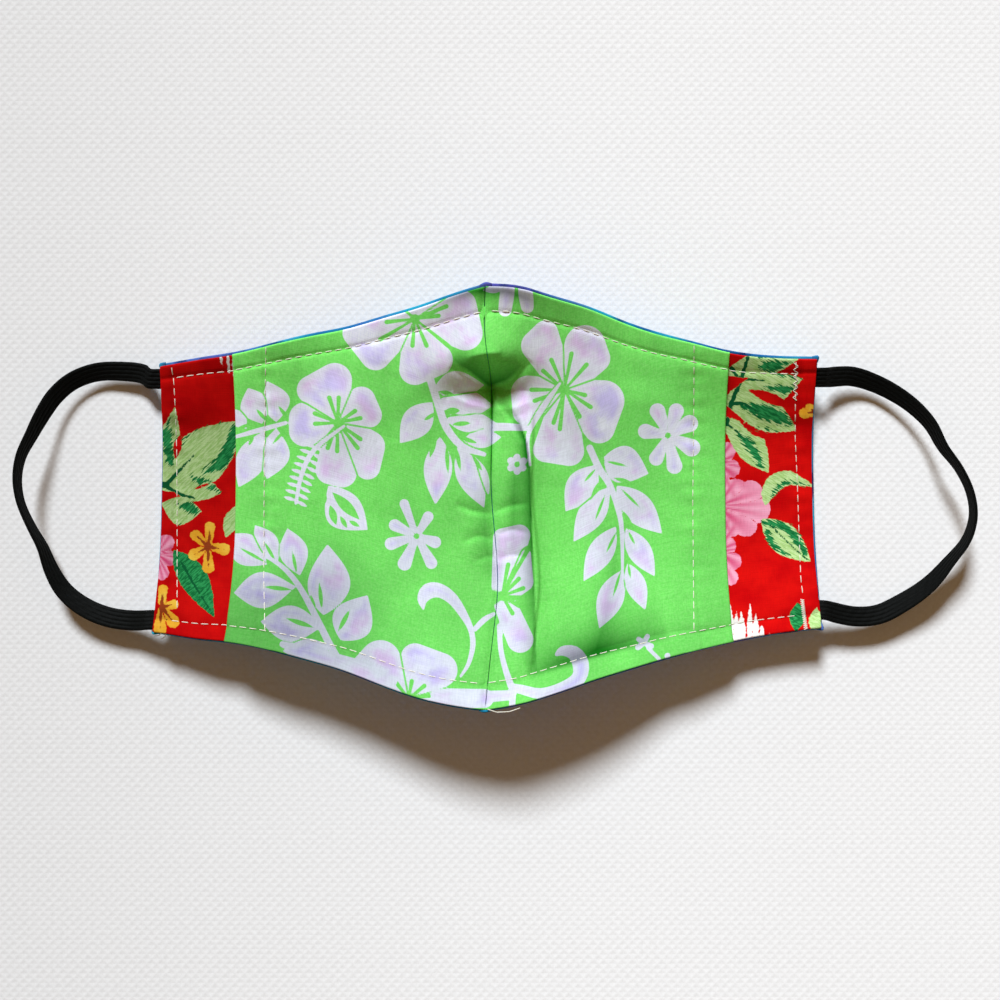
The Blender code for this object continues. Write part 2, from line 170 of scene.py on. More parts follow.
bpy.ops.mesh.primitive_plane_add(size=TABLE_SIZE, location=(0, 0, -TABLE_GAP))
table = bpy.context.object
table.name = "table"
pale_table, nodes, shader = new_finish("pale_table", 0.9)
place = put(nodes, "ShaderNodeTexCoord")["Object"]
mottle = between(nodes, noise(nodes, place, 700.0, 2.0), 0.3, 0.7)
colour = blend_colours(nodes, mottle, *TABLE_COLOURS)
rightwards = put(nodes, "ShaderNodeSeparateXYZ", {0: place})["X"]
# Painted shade: the table's colour is multiplied darker towards its left.
colour = toned(nodes, colour, between(nodes, rightwards, *TABLE_PAINTED_SHADE))
nodes.links.new(colour, shader.inputs["Base Color"])
canvas = []
for turn in CANVAS_TURNS:
    turned = put(nodes, "ShaderNodeMapping", {"Vector": place, "Rotation": (0, 0, turn)})[0]
    inputs = {"Vector": turned, "Scale": wave_scale(CANVAS_PITCH), "Distortion": 0.8}
    canvas.append(put(nodes, "ShaderNodeTexWave", inputs)["Fac"])
threads = put(nodes, "ShaderNodeMath", {0: canvas[0], 1: canvas[1]}, operation="MAXIMUM")[0]
emboss(nodes, shader, threads, CANVAS_DEPTH, CANVAS_STRENGTH)
table.data.materials.append(pale_table)


# The outer cloth is blue hand-dyed cotton in two halves that meet in the curved
# centre seam. It was sewn to the lining right sides together and turned out, so
# its rims are folds that roll a little past the lining.
SIDES = {"left": -1, "right": 1}
CLOTH_THICKNESS = 0.0003
COTTON_ROUGHNESS = 0.85
OUTER_CELL = 0.0009
OUTER_FOLD = 0.0006
OUTER_FOLD_HEIGHT = 0.00125
SEAM_FOLD = 0.0006
SEAM_CLOSE = 0.00018
POCKET_SEAM_CLOSE = 0.00008
SEAM_CLOSE_REACH = 0.003
OUTSET_REACH = 0.006
TURN_UNDER = 0.0012
FOLD_ANGLES = (180, 150, 120, 90, 60, 30, 0)
MERGE_DISTANCE = 0.00001
WALL_SLOPE = 0.02
CREASE_ANGLE = 32
BORDER = 0.0070
BORDER_NARROWING = 0.000027
BORDER_TROUGH = 0.0008
NOSE_TROUGH = 0.0003
BORDER_TROUGH_WIDTH = 0.0024
STITCH_DENT = 0.00035
STITCH_DENT_WIDTH = 0.0006
PUCKER = 0.00015
PUCKER_REACH = 0.0040
# The nose edge has sagged a little under its own weight.
NOSE_SAG = 0.004
# Creases that run through both layers: points as seen from above, depth and how far
# they reach to the left and right, all in millimetres.
BODY_FOLDS = (
    # The dent below the nose edge, its foot along the seam, and its right flank.
    (((-16, 42), (-9, 38), (-5, 36), (-2.5, 35), (3, 37), (10, 44)), 1.7, 9.0, 3.0),
    (((-16, 33), (-9, 30), (-2, 28.5), (5, 29), (10, 31)), -1.4, 7.0, 9.0),
    (((-2.7, 42), (-2.2, 35), (-2.6, 24)), 0.4, 2.0, 2.0),
    (((-1, 32), (3, 26), (7, 18)), 1.1, 5.0, 1.5),
    # The hollow above the chin border, right of the seam.
    (((6, -57), (20, -52), (32, -48), (44, -44.5), (62, -41)), 2.4, 12.0, 2.5),
)
OUTER_WEAVE_PITCH = 0.00042
OUTER_WEAVE_DEPTH = 0.00008
WEAVE_STRENGTH = 0.25
# How noise is drawn out along the threads of either way of the weave.
THREAD_STREAKS = ((160.0, 3200.0, 1.0), (3200.0, 260.0, 1.0))
BLUE_DYE = ((0.012, 0.12, 0.34, 1.0), (0.02, 0.36, 0.52, 1.0))
VIOLET_DYE = (0.09, 0.09, 0.40, 1.0)
NAVY_DYE = (0.01, 0.03, 0.12, 1.0)


def edit_mode(thing):
    """Select one object alone and open its mesh with nothing selected."""
    bpy.ops.object.select_all(action="DESELECT")
    bpy.context.view_layer.objects.active = thing
    thing.select_set(True)
    bpy.ops.object.mode_set(mode="EDIT")
    bpy.ops.mesh.select_mode(type="FACE")
    bpy.ops.mesh.select_all(action="DESELECT")


def object_mode():
    bpy.ops.object.mode_set(mode="OBJECT")


def packed_face(node, faces_up):
    """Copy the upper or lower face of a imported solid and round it: the cloth's pattern."""
    pattern = bpy.data.objects.new(node + "_pattern", frame["nodes"][node].data.copy())
    bpy.context.collection.objects.link(pattern)
    edit_mode(pattern)
    bpy.ops.mesh.select_all(action="SELECT")
    bpy.ops.mesh.remove_doubles(threshold=MERGE_DISTANCE)
    bpy.ops.mesh.tris_convert_to_quads(face_threshold=math.pi, shape_threshold=math.pi)
    bpy.ops.mesh.select_all(action="DESELECT")
    object_mode()
    way = 1 if faces_up else -1
    for face in pattern.data.polygons:
        face.select = face.normal.z * way < WALL_SLOPE
    bpy.ops.object.mode_set(mode="EDIT")
    bpy.ops.mesh.delete(type="FACE")
    bpy.ops.mesh.select_mode(type="EDGE")
    bpy.ops.mesh.edges_select_sharp(sharpness=math.radians(CREASE_ANGLE))
    bpy.ops.transform.edge_crease(value=1.0)
    object_mode()
    rounding = pattern.modifiers.new("rounding", "SUBSURF")
    rounding.levels = 2
    rounding.render_levels = 2
    rounding.boundary_smooth = "PRESERVE_CORNERS"
    bpy.ops.object.modifier_apply(modifier="rounding")
    return pattern


def tree_of(*things):
    """One search tree over the faces of some objects that sit at the origin."""
    points, faces = [], []
    for thing in things:
        start = len(points)
        points += [vertex.co.copy() for vertex in thing.data.vertices]
        faces += [[start + k for k in face.vertices] for face in thing.data.polygons]
    return BVHTree.FromPolygons(points, faces)


def heights(tree, x, y, otherwise):
    """Height of a search tree's highest face at each point of the plan."""
    found = np.array(otherwise, float)
    for k in np.ndindex(x.shape):
        hit = tree.ray_cast((x[k], y[k], 0.1), (0, 0, -1))[0]
        if hit is not None:
            found[k] = hit.z
    return found


def borders(pattern, side):
    """A pattern's inner, outer, bottom and top border as rows of points, the first
    two from bottom to top and the others from the seam outwards."""
    shape = bmesh.new()
    shape.from_mesh(pattern.data)
    links = {}
    for edge in shape.edges:
        if edge.is_boundary:
            a, b = edge.verts
            links.setdefault(a.index, []).append(b.index)
            links.setdefault(b.index, []).append(a.index)
    shape.free()
    loop = [min(links)]
    loop.append(links[loop[0]][0])
    while True:
        here, before = loop[-1], loop[-2]
        following = [k for k in links[here] if k != before][0]
        if following == loop[0]:
            break
        loop.append(following)
    points = np.array([pattern.data.vertices[k].co for k in loop])
    start = int(np.argmax(points[:, 0] * -side - points[:, 1]))
    points = np.roll(points, -start, axis=0)
    ways = ((1, -1), (1, 1), (-1, 1))
    corners = [int(np.argmax(points[:, 0] * side * u + points[:, 1] * v)) for u, v in ways]
    if corners[0] > corners[2]:
        points = np.roll(points[::-1], 1, axis=0)
        corners = [len(points) - k for k in corners]
    points = np.vstack([points, points[:1]])
    a, b, c = corners
    return {
        "bottom": points[: a + 1],
        "outer": points[a : b + 1],
        "top": points[b : c + 1][::-1],
        "inner": points[c:][::-1],
    }


def lengths_along(points):
    """How far along a row of points each of them lies."""
    return np.concatenate([[0.0], np.cumsum(np.linalg.norm(np.diff(points, axis=0), axis=1))])


def along(border, shares):
    """Points at some shares of a border's length."""
    lengths = lengths_along(border)
    places = shares * lengths[-1]
    return np.stack([np.interp(places, lengths, border[:, k]) for k in range(3)], axis=-1)


def plan(edges, across, up):
    """Point of a sheet at a share of the way across and up it, between its borders."""
    s, t = across[..., None], up[..., None]
    bottom, top = along(edges["bottom"], across), along(edges["top"], across)
    inner, outer = along(edges["inner"], up), along(edges["outer"], up)
    corners = (1 - s) * (1 - t) * edges["bottom"][0] + s * (1 - t) * edges["bottom"][-1]
    corners = corners + (1 - s) * t * edges["top"][0] + s * t * edges["top"][-1]
    return (1 - t) * bottom + t * top + (1 - s) * inner + s * outer - corners


def folded_lines(start_fold, end_fold, length, cell):
    """Lines of cloth between two folded borders: share of the flat middle, way from
    the middle's end towards the border, and how far the line lies under the fold."""
    fold = [(start_fold + TURN_UNDER, 1.0)]
    for angle in FOLD_ANGLES:
        turn = math.radians(angle)
        fold.append((start_fold * (1 - math.sin(turn)), (1 - math.cos(turn)) / 2))
    lines = [(0.0, inset - start_fold, under) for inset, under in fold]
    count = round((length - start_fold - end_fold) / cell)
    lines += [(k / count, 0.0, 0.0) for k in range(1, count)]
    ratio = end_fold / start_fold
    for inset, under in fold[::-1]:
        lines.append((1.0, end_fold - (inset * ratio if inset <= start_fold else inset), under))
    return np.array(lines).T


def grid_through(name, points):
    """A grid of faces through rows and columns of points."""
    bpy.ops.object.select_all(action="DESELECT")
    columns, rows = len(points) - 1, len(points[0]) - 1
    bpy.ops.mesh.primitive_grid_add(x_subdivisions=columns, y_subdivisions=rows, size=1)
    grid = bpy.context.object
    grid.name = name
    grid.data.name = name
    grid.data.vertices.foreach_set("co", points.transpose(1, 0, 2).ravel())
    return grid


def keep_threads(grid, name, threads):
    """Keep on a grid where each of its points lies along the threads of the cloth."""
    layer = grid.data.attributes.new(name, "FLOAT_VECTOR", "POINT")
    layer.data.foreach_set("vector", threads.transpose(1, 0, 2).ravel())


def lay_cloth(name, pattern, side, cell, folds, relief, bed, fold_height, faces_up=True, outset=0.0):
    """Lay one cut of cloth on its pattern, with its four borders folded under.

    folds are the plan radii of the inner, outer, bottom and top fold. relief gives
    the height that seams and wrinkles add. Where faces_up is false the right side
    looks down and the folds turn up by fold_height, else they turn down to the bed.
    """
    edges = borders(pattern, side)
    surface = tree_of(pattern)
    width = np.linalg.norm(edges["bottom"][0] - edges["bottom"][-1])
    height = np.linalg.norm(edges["inner"][0] - edges["inner"][-1])
    columns = folded_lines(folds[0], folds[1], width, cell)
    rows = folded_lines(folds[2], folds[3], height, cell)
    ends = np.array([[0.0], [1.0]])
    start, end = plan(edges, ends + 0 * rows[0], 0 * ends + rows[0])
    widths = np.linalg.norm((end - start)[:, :2], axis=1)
    start, end = plan(edges, 0 * ends + columns[0], ends + 0 * columns[0])
    lengths = np.linalg.norm((end - start)[:, :2], axis=1)[:, None]

    flat = widths[None, :] - folds[0] - folds[1]
    across = (folds[0] + flat * columns[0][:, None] + columns[1][:, None]) / widths
    flat = lengths - folds[2] - folds[3]
    up = (folds[2] + flat * rows[0][None, :] + rows[1][None, :]) / lengths
    spot = plan(edges, across, up)
    close = POCKET_SEAM_CLOSE if faces_up else SEAM_CLOSE
    pull = close * (outset == 0) * np.exp(-((across * widths / SEAM_CLOSE_REACH) ** 2))
    pull = pull - outset * np.exp(-(((1 - across) * widths / OUTSET_REACH) ** 2))
    x, y = spot[..., 0] - side * pull, spot[..., 1]
    under = 1 - (1 - columns[2][:, None]) * (1 - rows[2][None, :])
    z = heights(surface, x, y, spot[..., 2])
    away = {
        "inner": across * widths,
        "outer": (1 - across) * widths,
        "bottom": up * lengths,
        "top": (1 - up) * lengths,
    }
    z = z + relief(*seen(x, y, z), away) * (1 - under)
    if faces_up:
        z = z - under * (z - heights(bed, x, y, z - fold_height))
    else:
        z = z + under * fold_height
    z = z - nose_sag(*seen(x, y, z))

    points = np.stack([x, y, z], axis=-1)
    cloth = grid_through(name, points)
    threads = np.zeros(points.shape)
    threads[1:, :, 0] = np.cumsum(np.linalg.norm(np.diff(points, axis=0), axis=2), axis=0)
    threads[:, 1:, 1] = np.cumsum(np.linalg.norm(np.diff(points, axis=1), axis=2), axis=1)
    keep_threads(cloth, "weave", threads)
    cloth.data.update()
    facing = sum(face.normal.z * face.area for face in cloth.data.polygons)
    if (facing > 0) != faces_up:
        edit_mode(cloth)
        bpy.ops.mesh.select_all(action="SELECT")
        bpy.ops.mesh.flip_normals()
        object_mode()
    area = sum(face.area for face in cloth.data.polygons)
    thick = cloth.modifiers.new("thick", "SOLIDIFY")
    thick.thickness = CLOTH_THICKNESS
    thick.offset = -1.0
    bpy.ops.object.modifier_apply(modifier="thick")
    bpy.ops.object.shade_smooth()
    cut = (threads[..., 0].max(), threads[..., 1].max())
    return cloth, edges, {"flat": cut, "area": area, "held": "laid"}


def seen(x, y, z):
    """Where the camera sees a point: millimetres right and up from the picture's middle."""
    shrink = 1 - z / CAMERA_HEIGHT
    return (x - CAMERA_X) / shrink * 1000, (y - CAMERA_Y) / shrink * 1000


def rise(value, low, high):
    """A smooth step from 0 to 1 between two limits."""
    part = np.clip((value - low) / (high - low), 0, 1)
    return part * part * (3 - 2 * part)


def nose_sag(u, v):
    """How far the cloth has sagged at the nose edge."""
    return NOSE_SAG * rise(v, 40, 66) * (1 - rise(np.abs(u), 45, 75))


def beside(u, v, points):
    """Distance to a row of points, the share of the way along it, and whether on its left."""
    near, share, left = np.full(u.shape, 1000.0), np.zeros(u.shape), np.zeros(u.shape, bool)
    for k, ((au, av), (bu, bv)) in enumerate(zip(points, points[1:])):
        du, dv = bu - au, bv - av
        part = np.clip(((u - au) * du + (v - av) * dv) / (du * du + dv * dv), 0, 1)
        gap = np.hypot(u - au - part * du, v - av - part * dv)
        closer = gap < near
        share = np.where(closer, (k + part) / (len(points) - 1), share)
        left = np.where(closer, du * (v - av) > dv * (u - au), left)
        near = np.minimum(near, gap)
    return near, share, left


def crease(u, v, points, depth, left_reach, right_reach):
    """A crease of some depth along a row of points, fading at its sides and ends. All
    its sizes are in millimetres; a negative depth raises the cloth."""
    near, share, left = beside(u, v, points)
    fading = np.clip(1 - near / np.where(left, left_reach, right_reach), 0, 1) ** 2
    return -depth * fading * np.sqrt(np.sin(math.pi * np.clip(share, 0, 1))) / 1000


def bump_line(distance, place, width):
    """A soft ridge of height 1 along a line at some distance from a border."""
    return np.exp(-(((distance - place) / width) ** 2))


def puckers(way):
    """Uneven small gathers along a seam, between -1 and 1."""
    return 0.5 * np.sin(way / 0.81) + 0.3 * np.sin(way / 1.32 + 1.3) + 0.4 * np.sin(way / 2.16 + 0.4)


def border_at(u):
    """How far in the topstitching runs, less towards the side edges."""
    return BORDER - BORDER_NARROWING * np.abs(u)


def sewn_border(distance, way, trough=BORDER_TROUGH):
    """Relief along a rim: the topstitching pulls the cloth in, and the border puffs."""
    border = border_at(way)
    relief = -trough * bump_line(distance, border, BORDER_TROUGH_WIDTH)
    relief = relief - STITCH_DENT * bump_line(distance, border, STITCH_DENT_WIDTH)
    return relief + PUCKER * puckers(way) * bump_line(distance, border, PUCKER_REACH)


def body_folds(u, v):
    """The creases that run through both layers of cloth."""
    return sum(crease(u, v, *fold) for fold in BODY_FOLDS)


def outer_relief(u, v, away):
    """The topstitching shows on the outer side as a shallow dent."""
    border = border_at(u)
    dent = sum(bump_line(away[rim], border, STITCH_DENT_WIDTH) for rim in ("top", "bottom"))
    gathers = sum(bump_line(away[rim], border, PUCKER_REACH) for rim in ("top", "bottom"))
    return STITCH_DENT * dent + PUCKER * puckers(u) * gathers + body_folds(u, v)


def weave_bump(tree, shader, pitch, depth):
    """Plain weave: crossing ridges of yarn with slubs, as a bump on the shader."""
    place = put(tree, "ShaderNodeAttribute", attribute_name="weave")["Vector"]
    slubs = noise(tree, place, 0.4 / pitch, 2.0)
    waves = []
    for direction in ("X", "Y"):
        inputs = {"Vector": place, "Scale": wave_scale(pitch), "Distortion": 0.6}
        inputs |= {"Detail": 1.0, "Detail Scale": 2.0}
        waves.append(put(tree, "ShaderNodeTexWave", inputs, bands_direction=direction)["Fac"])
    yarns = put(tree, "ShaderNodeMath", {0: waves[0], 1: waves[1]}, operation="MAXIMUM")[0]
    uneven = put(tree, "ShaderNodeMath", {0: slubs, 1: yarns}, operation="ADD")[0]
    emboss(tree, shader, uneven, depth, WEAVE_STRENGTH)


def thread_tone(tree, least, most):
    """Lighter and darker threads along both ways of the weave, as a factor."""
    place = put(tree, "ShaderNodeAttribute", attribute_name="weave")["Vector"]
    streaks = []
    for scale in THREAD_STREAKS:
        drawn = put(tree, "ShaderNodeMapping", {"Vector": place, "Scale": scale})[0]
        streaks.append(noise(tree, drawn, 1.0, 2.0))
    both = put(tree, "ShaderNodeMath", {0: streaks[0], 1: streaks[1]}, operation="ADD")[0]
    return between(tree, both, 0.7, 1.3, least, most)


outer_patterns = {side: packed_face("outer_shell_" + side, False) for side in SIDES}
outer_tops = {side: packed_face("outer_shell_" + side, True) for side in SIDES}
outer_cloths, outer_cuts = {}, {}
for side, sign in SIDES.items():
    folds = (SEAM_FOLD, OUTER_FOLD, OUTER_FOLD, OUTER_FOLD)
    outer_cloths[side], _, outer_cuts[side] = lay_cloth(
        "outer_cloth_" + side, outer_patterns[side], sign, OUTER_CELL, folds,
        outer_relief, None, OUTER_FOLD_HEIGHT, faces_up=False,
    )

blue_cotton, nodes, shader = new_finish("blue_hand_dyed_cotton", COTTON_ROUGHNESS)
place = put(nodes, "ShaderNodeTexCoord")["Object"]
dye = between(nodes, noise(nodes, place, 38.0, 4.0, 0.8), 0.32, 0.66)
colour = blend_colours(nodes, dye, *BLUE_DYE)
violet = between(nodes, noise(nodes, place, 21.0, 3.0, 0.5), 0.5, 0.7)
colour = blend_colours(nodes, violet, colour, VIOLET_DYE)
navy = between(nodes, noise(nodes, place, 55.0, 5.0, 1.2), 0.55, 0.68)
colour = blend_colours(nodes, navy, colour, NAVY_DYE)
nodes.links.new(colour, shader.inputs["Base Color"])
weave_bump(nodes, shader, OUTER_WEAVE_PITCH, OUTER_WEAVE_DEPTH)
for side in SIDES:
    cloth = outer_cloths[side]
    cloth.data.materials.clear()
    cloth.data.materials.append(blue_cotton)
    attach(cloth, "root")
    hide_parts("outer_shell_" + side)


# The lining at the two sides is red cotton printed with flowers and leaves. Each
# panel runs on under the mouth of the filter pocket.
LINING_CELL = 0.0005
LINING_FOLD = 0.0005
LINING_FOLD_HEIGHT = 0.0013
SIDE_STITCH = 0.004
LINING_OUTSETS = {"left": 0.0001, "right": 0.0008}
RUMPLE = 0.00006
LINING_GLOSS = 0.03
INNER_WEAVE_PITCH = 0.00036
INNER_WEAVE_DEPTH = 0.00006
RIBBON_STEPS = 3
PETAL_START = 0.8


def rumples(u, v):
    """Small soft waves that handling leaves in cotton, about 1 high or deep."""
    waves = np.sin(u / 3.1 + 1.7 * np.sin(v / 9.0)) * np.sin(v / 4.3 + 1.1 * np.sin(u / 7.0))
    slanted = np.sin((u + v) / 2.3 + 1.3 * np.sin((u - v) / 11.0)) * np.sin((u - 2 * v) / 8.0)
    return waves + 0.6 * slanted


def lining_relief(u, v, away):
    """The seams and small waves of the lining's cloth."""
    relief = sewn_border(away["top"], u, NOSE_TROUGH) + sewn_border(away["bottom"], u + 4)
    relief = relief - STITCH_DENT * bump_line(away["outer"], SIDE_STITCH, STITCH_DENT_WIDTH)
    relief = relief + PUCKER * puckers(v) * bump_line(away["outer"], SIDE_STITCH, PUCKER_REACH)
    return relief + RUMPLE * rumples(u, v)


lining_cloths, lining_edges, lining_cuts = {}, {}, {}
for side, sign in SIDES.items():
    bed = tree_of(outer_tops[side], frame["nodes"]["ear_loop_" + side])
    lining_cloths[side], lining_edges[side], lining_cuts[side] = lay_cloth(
        "side_lining_" + side, packed_face("side_panel_" + side, True), sign, LINING_CELL,
        (LINING_FOLD,) * 4, lining_relief, bed, LINING_FOLD_HEIGHT, outset=LINING_OUTSETS[side],
    )


def lobe(u, v, start, end):
    """Distance to a round-ended shape between two discs (u, v, radius)."""
    (au, av, small), (bu, bv, large) = start, end
    length = math.hypot(bu - au, bv - av)
    du, dv = (bu - au) / length, (bv - av) / length
    along, aside = (u - au) * du + (v - av) * dv, np.abs((u - au) * dv - (v - av) * du)
    lean = max(min((small - large) / length, 0.95), -0.95)
    flank = math.sqrt(1 - lean * lean)
    place = along * flank - aside * lean
    first, last = np.hypot(along, aside) - small, np.hypot(along - length, aside) - large
    side = aside * flank + along * lean - small
    return np.where(place < 0, first, np.where(place > length * flank, last, side))


def smoothed(rows, places):
    """Values of a smooth curve through rows of numbers at some places from 0 to 1."""
    at = places * (len(rows) - 1)
    k = np.clip(at.astype(int), 0, len(rows) - 2)
    t = (at - k)[:, None]
    padded = np.vstack([2 * rows[0] - rows[1], rows, 2 * rows[-1] - rows[-2]])
    a, b, c, d = padded[k], padded[k + 1], padded[k + 2], padded[k + 3]
    return b + 0.5 * t * (c - a + t * (2 * a - 5 * b + 4 * c - d + t * (3 * (b - c) + d - a)))


def ribbon(u, v, *points):
    """Distance to a smooth band through points (u, v, width)."""
    if len(points) > 2:
        places = np.linspace(0, 1, RIBBON_STEPS * (len(points) - 1) + 1)
        points = smoothed(np.array(points, float), places)
    discs = [(pu, pv, width / 2) for pu, pv, width in points]
    return np.minimum.reduce([lobe(u, v, *pair) for pair in zip(discs, discs[1:])])


def leaf(u, v, base, tip, width, widest=1.0, bend=0.0):
    """Distance to a pointed leaf. Its widest place moves to its base where widest is
    under 1, and bend bows it to its left."""
    length = math.hypot(tip[0] - base[0], tip[1] - base[1])
    du, dv = (tip[0] - base[0]) / length, (tip[1] - base[1]) / length
    along = ((u - base[0]) * du + (v - base[1]) * dv) / length
    part = np.clip(along, 0, 1)
    aside = (v - base[1]) * du - (u - base[0]) * dv - bend * np.sin(math.pi * part)
    past = np.maximum(np.abs(along - 0.5) - 0.5, 0) * length
    outside = np.hypot(past, aside)
    inside = np.abs(aside) - width / 2 * np.sin(math.pi * part**widest)
    return np.where(past > 0, outside, inside)


def nearest(u, v, shape, rows):
    """Distance to the nearest of some leaves, bands or flowers."""
    return np.minimum.reduce([shape(u, v, *sizes) for sizes in rows])


def parted(shapes, gap):
    """Distance to the nearest of some shapes, with a gap where two of them meet."""
    near = second = np.full(shapes[0].shape, 1000.0)
    for shape in shapes:
        second = np.minimum(second, np.maximum(near, shape))
        near = np.minimum(near, shape)
    return np.maximum(near, gap - (second - near) / 2)


def petals(u, v, centre, discs, petal_gap=0.0):
    """Distance to a flower whose petals run from its centre, with a gap between them."""
    return parted([lobe(u, v, (*centre, PETAL_START), disc) for disc in discs], petal_gap)


def mark_print(cloth, layers):
    """Keep on a cloth, as attributes, how far each point is from a print's motifs."""
    points = np.empty(3 * len(cloth.data.vertices))
    cloth.data.vertices.foreach_get("co", points)
    u, v = seen(*points.reshape(-1, 3).T)
    for name, motifs in layers.items():
        layer = cloth.data.attributes.new(name, "FLOAT", "POINT")
        layer.data.foreach_set("value", motifs(u, v))


def inked(tree, layer, uneven=None, edge=0.12):
    """1 within a layer of the print, with an uneven hand-painted edge if given."""
    distance = put(tree, "ShaderNodeAttribute", attribute_name=layer)["Fac"]
    if uneven is not None:
        distance = put(tree, "ShaderNodeMath", {0: distance, 1: uneven}, operation="ADD")[0]
    return between(tree, distance, -edge, edge, 1.0, 0.0)


# The red print's leaves: base, tip, width, widest and bend, as seen from above in
# millimetres.
RED_LEAVES = (
    ((-107, 3), (-81, 25.5), 17.0, 0.85, 0.0),
    ((-106, 5), (-88.3, 2.3), 9.0, 1.0, 0.5),
    ((-107.5, -1), (-94.8, -3.6), 9.0, 1.0, -1.2),
    ((-108, 2), (-103.2, 29.5), 8.0, 0.9, 0.0),
    ((-87, -12), (-83.5, -1.5), 5.0, 1.0, 0.0),
    ((70, 32), (96, 38.5), 11.0, 1.1, -0.8),
    ((70, 40), (97, 46.5), 8.0, 1.0, 0.0),
    ((69, 32), (94.2, 22.2), 10.5, 1.25, 1.2),
    ((68, 28), (85.3, 8.7), 9.5, 1.3, 1.5),
    ((100, -43), (100.5, -34), 4.5, 1.0, 0.0),
    ((83, -6), (98.7, -19.8), 9.5, 0.9, 0.0),
)
DEEP_LEAVES = (
    ((-103.5, -16), (-90.7, -37.5), 9.0, 0.8, 0.8),
    ((94, -42), (94.7, -32.3), 5.0, 1.0, 0.0),
)
CRESCENT = (
    (84.4, -1.2, 1.0), (85, 2, 4.0), (87.5, 5.6, 5.4), (91.5, 7, 4.6), (95.5, 5.8, 2.6), (99, 4.6, 0.8),
)
CRESCENT_SHADE = ((86.2, -0.5, 0.8), (87.6, 2.6, 2.2), (91, 5.0, 2.0), (95, 5, 1.2), (98, 4.4, 0.5))
RED_GAPS = (
    ((-103.2, 13), (-101.5, 21), 2.6),
    ((-98, 3), (-91, 5.8), 0.8),
    ((78.5, 35.2), (93, 29.5), 3.4),
    ((76, 25), (85, 19), 2.2),
)
# Dark brushed shading and veins, as bands of (u, v, width).
RED_SHADES = (
    ((-101.5, 19, 2.5), (-97, 25.2, 4.2), (-91, 26.5, 3.0), (-86, 25, 1.0)),
    ((-84.5, 22.5, 2.4), (-85.5, 17, 4.6), (-88.5, 12, 4.0), (-94, 8.6, 1.2)),
    ((-98, 7.4, 0.8), (-93, 5.0, 2.8), (-89, 3.4, 1.4)),
    ((-102, -1.6, 1.0), (-98, -2.6, 3.4), (-95.5, -4.4, 1.2)),
    ((-107, -6.5, 1.8), (-102, -9, 1.8), (-97, -8.4, 0.8)),
    ((-106.5, 25, 3.0), (-105.4, 18, 3.2), (-104.6, 12, 2.2)),
    ((84, 42.5, 3.0), (90, 41.5, 5.0), (96, 39.5, 2.6)),
    ((84, 36.2, 0.8), (90, 35, 2.6), (95, 36, 1.2)),
    ((82, 45.5, 1.0), (88, 46.5, 2.2), (95, 46.4, 1.4)),
    ((77, 30, 0.8), (82.5, 28.5, 4.2), (88, 26.5, 4.6), (91.5, 24.5, 2.0)),
    ((80, 22.5, 0.8), (84.5, 21.2, 2.4), (89, 20.6, 0.8)),
    ((75.5, 21.5, 0.8), (79, 17.5, 2.8), (82, 13, 2.4), (83, 10.5, 1.0)),
    ((84, -7.4, 1.4), (89.5, -7.8, 3.6), (94, -11.5, 3.4), (97.5, -17.5, 1.6)),
    ((84.5, -10, 1.4), (86.8, -15, 3.0), (92, -19.6, 2.4)),
)
RED_VEINS = (
    ((-106.5, 4.5, 1.6), (-102, 9, 1.0), (-97, 14.5, 0.4)),
    ((-107, 5, 1.6), (-102, 2, 1.0), (-97, 0.6, 0.5)),
    ((72, 24, 1.2), (73.6, 31, 1.4), (76.4, 38, 1.2), (79, 46, 1.0)),
    ((76.4, 38.4, 1.0), (84, 38, 0.4)),
    ((73.4, 30.6, 1.4), (77, 30.6, 1.0), (82, 28, 0.4)),
    ((76, 38, 0.6), (73.5, 42, 1.4), (72.5, 43.5, 0.6)),
    ((71, 24.6, 0.8), (75, 22, 0.6), (79, 17.5, 0.3)),
    ((-101, -20, 1.0), (-97, -27, 0.7), (-92, -35, 0.3)),
    ((86, -8, 0.5), (92, -14, 0.6), (97.5, -19, 0.3)),
)
# Flowers: centre and discs of the petals.
GOLD_FLOWERS = (
    ((-92.7, -14.8), ((-92, -8.6, 1.7), (-96.6, -11.2, 1.7), (-97.2, -17.4, 1.8), (-92.6, -21.4, 1.9),
                      (-87.6, -15.6, 1.9))),
    ((-107.5, -34), ((-107, -28.5, 1.6), (-103.6, -33.2, 1.5), (-103.8, -38.6, 2.0), (-108, -41, 2.0))),
    ((101, 28), ((96.8, 27.6, 1.8), (98.5, 28.8, 1.8))),
)
PINK_PETALS = (
    ((-109, -17), ((-106, -13.5, 2.6), (-105, -18.5, 2.4), (-107.5, -23, 2.4))),
    ((69, 12), ((72, 15.5, 2.8), (73.4, 10, 2.8), (71, 6, 2.0))),
    ((69, -2), ((75, 3.5, 3.2), (79.5, 2, 4.2), (81.5, -3, 4.4), (78, -8, 3.6), (73.5, -9, 2.8))),
    ((69, -16), ((72, -14.5, 3.0), (73.8, -19.5, 2.8), (73, -24.5, 2.6))),
)
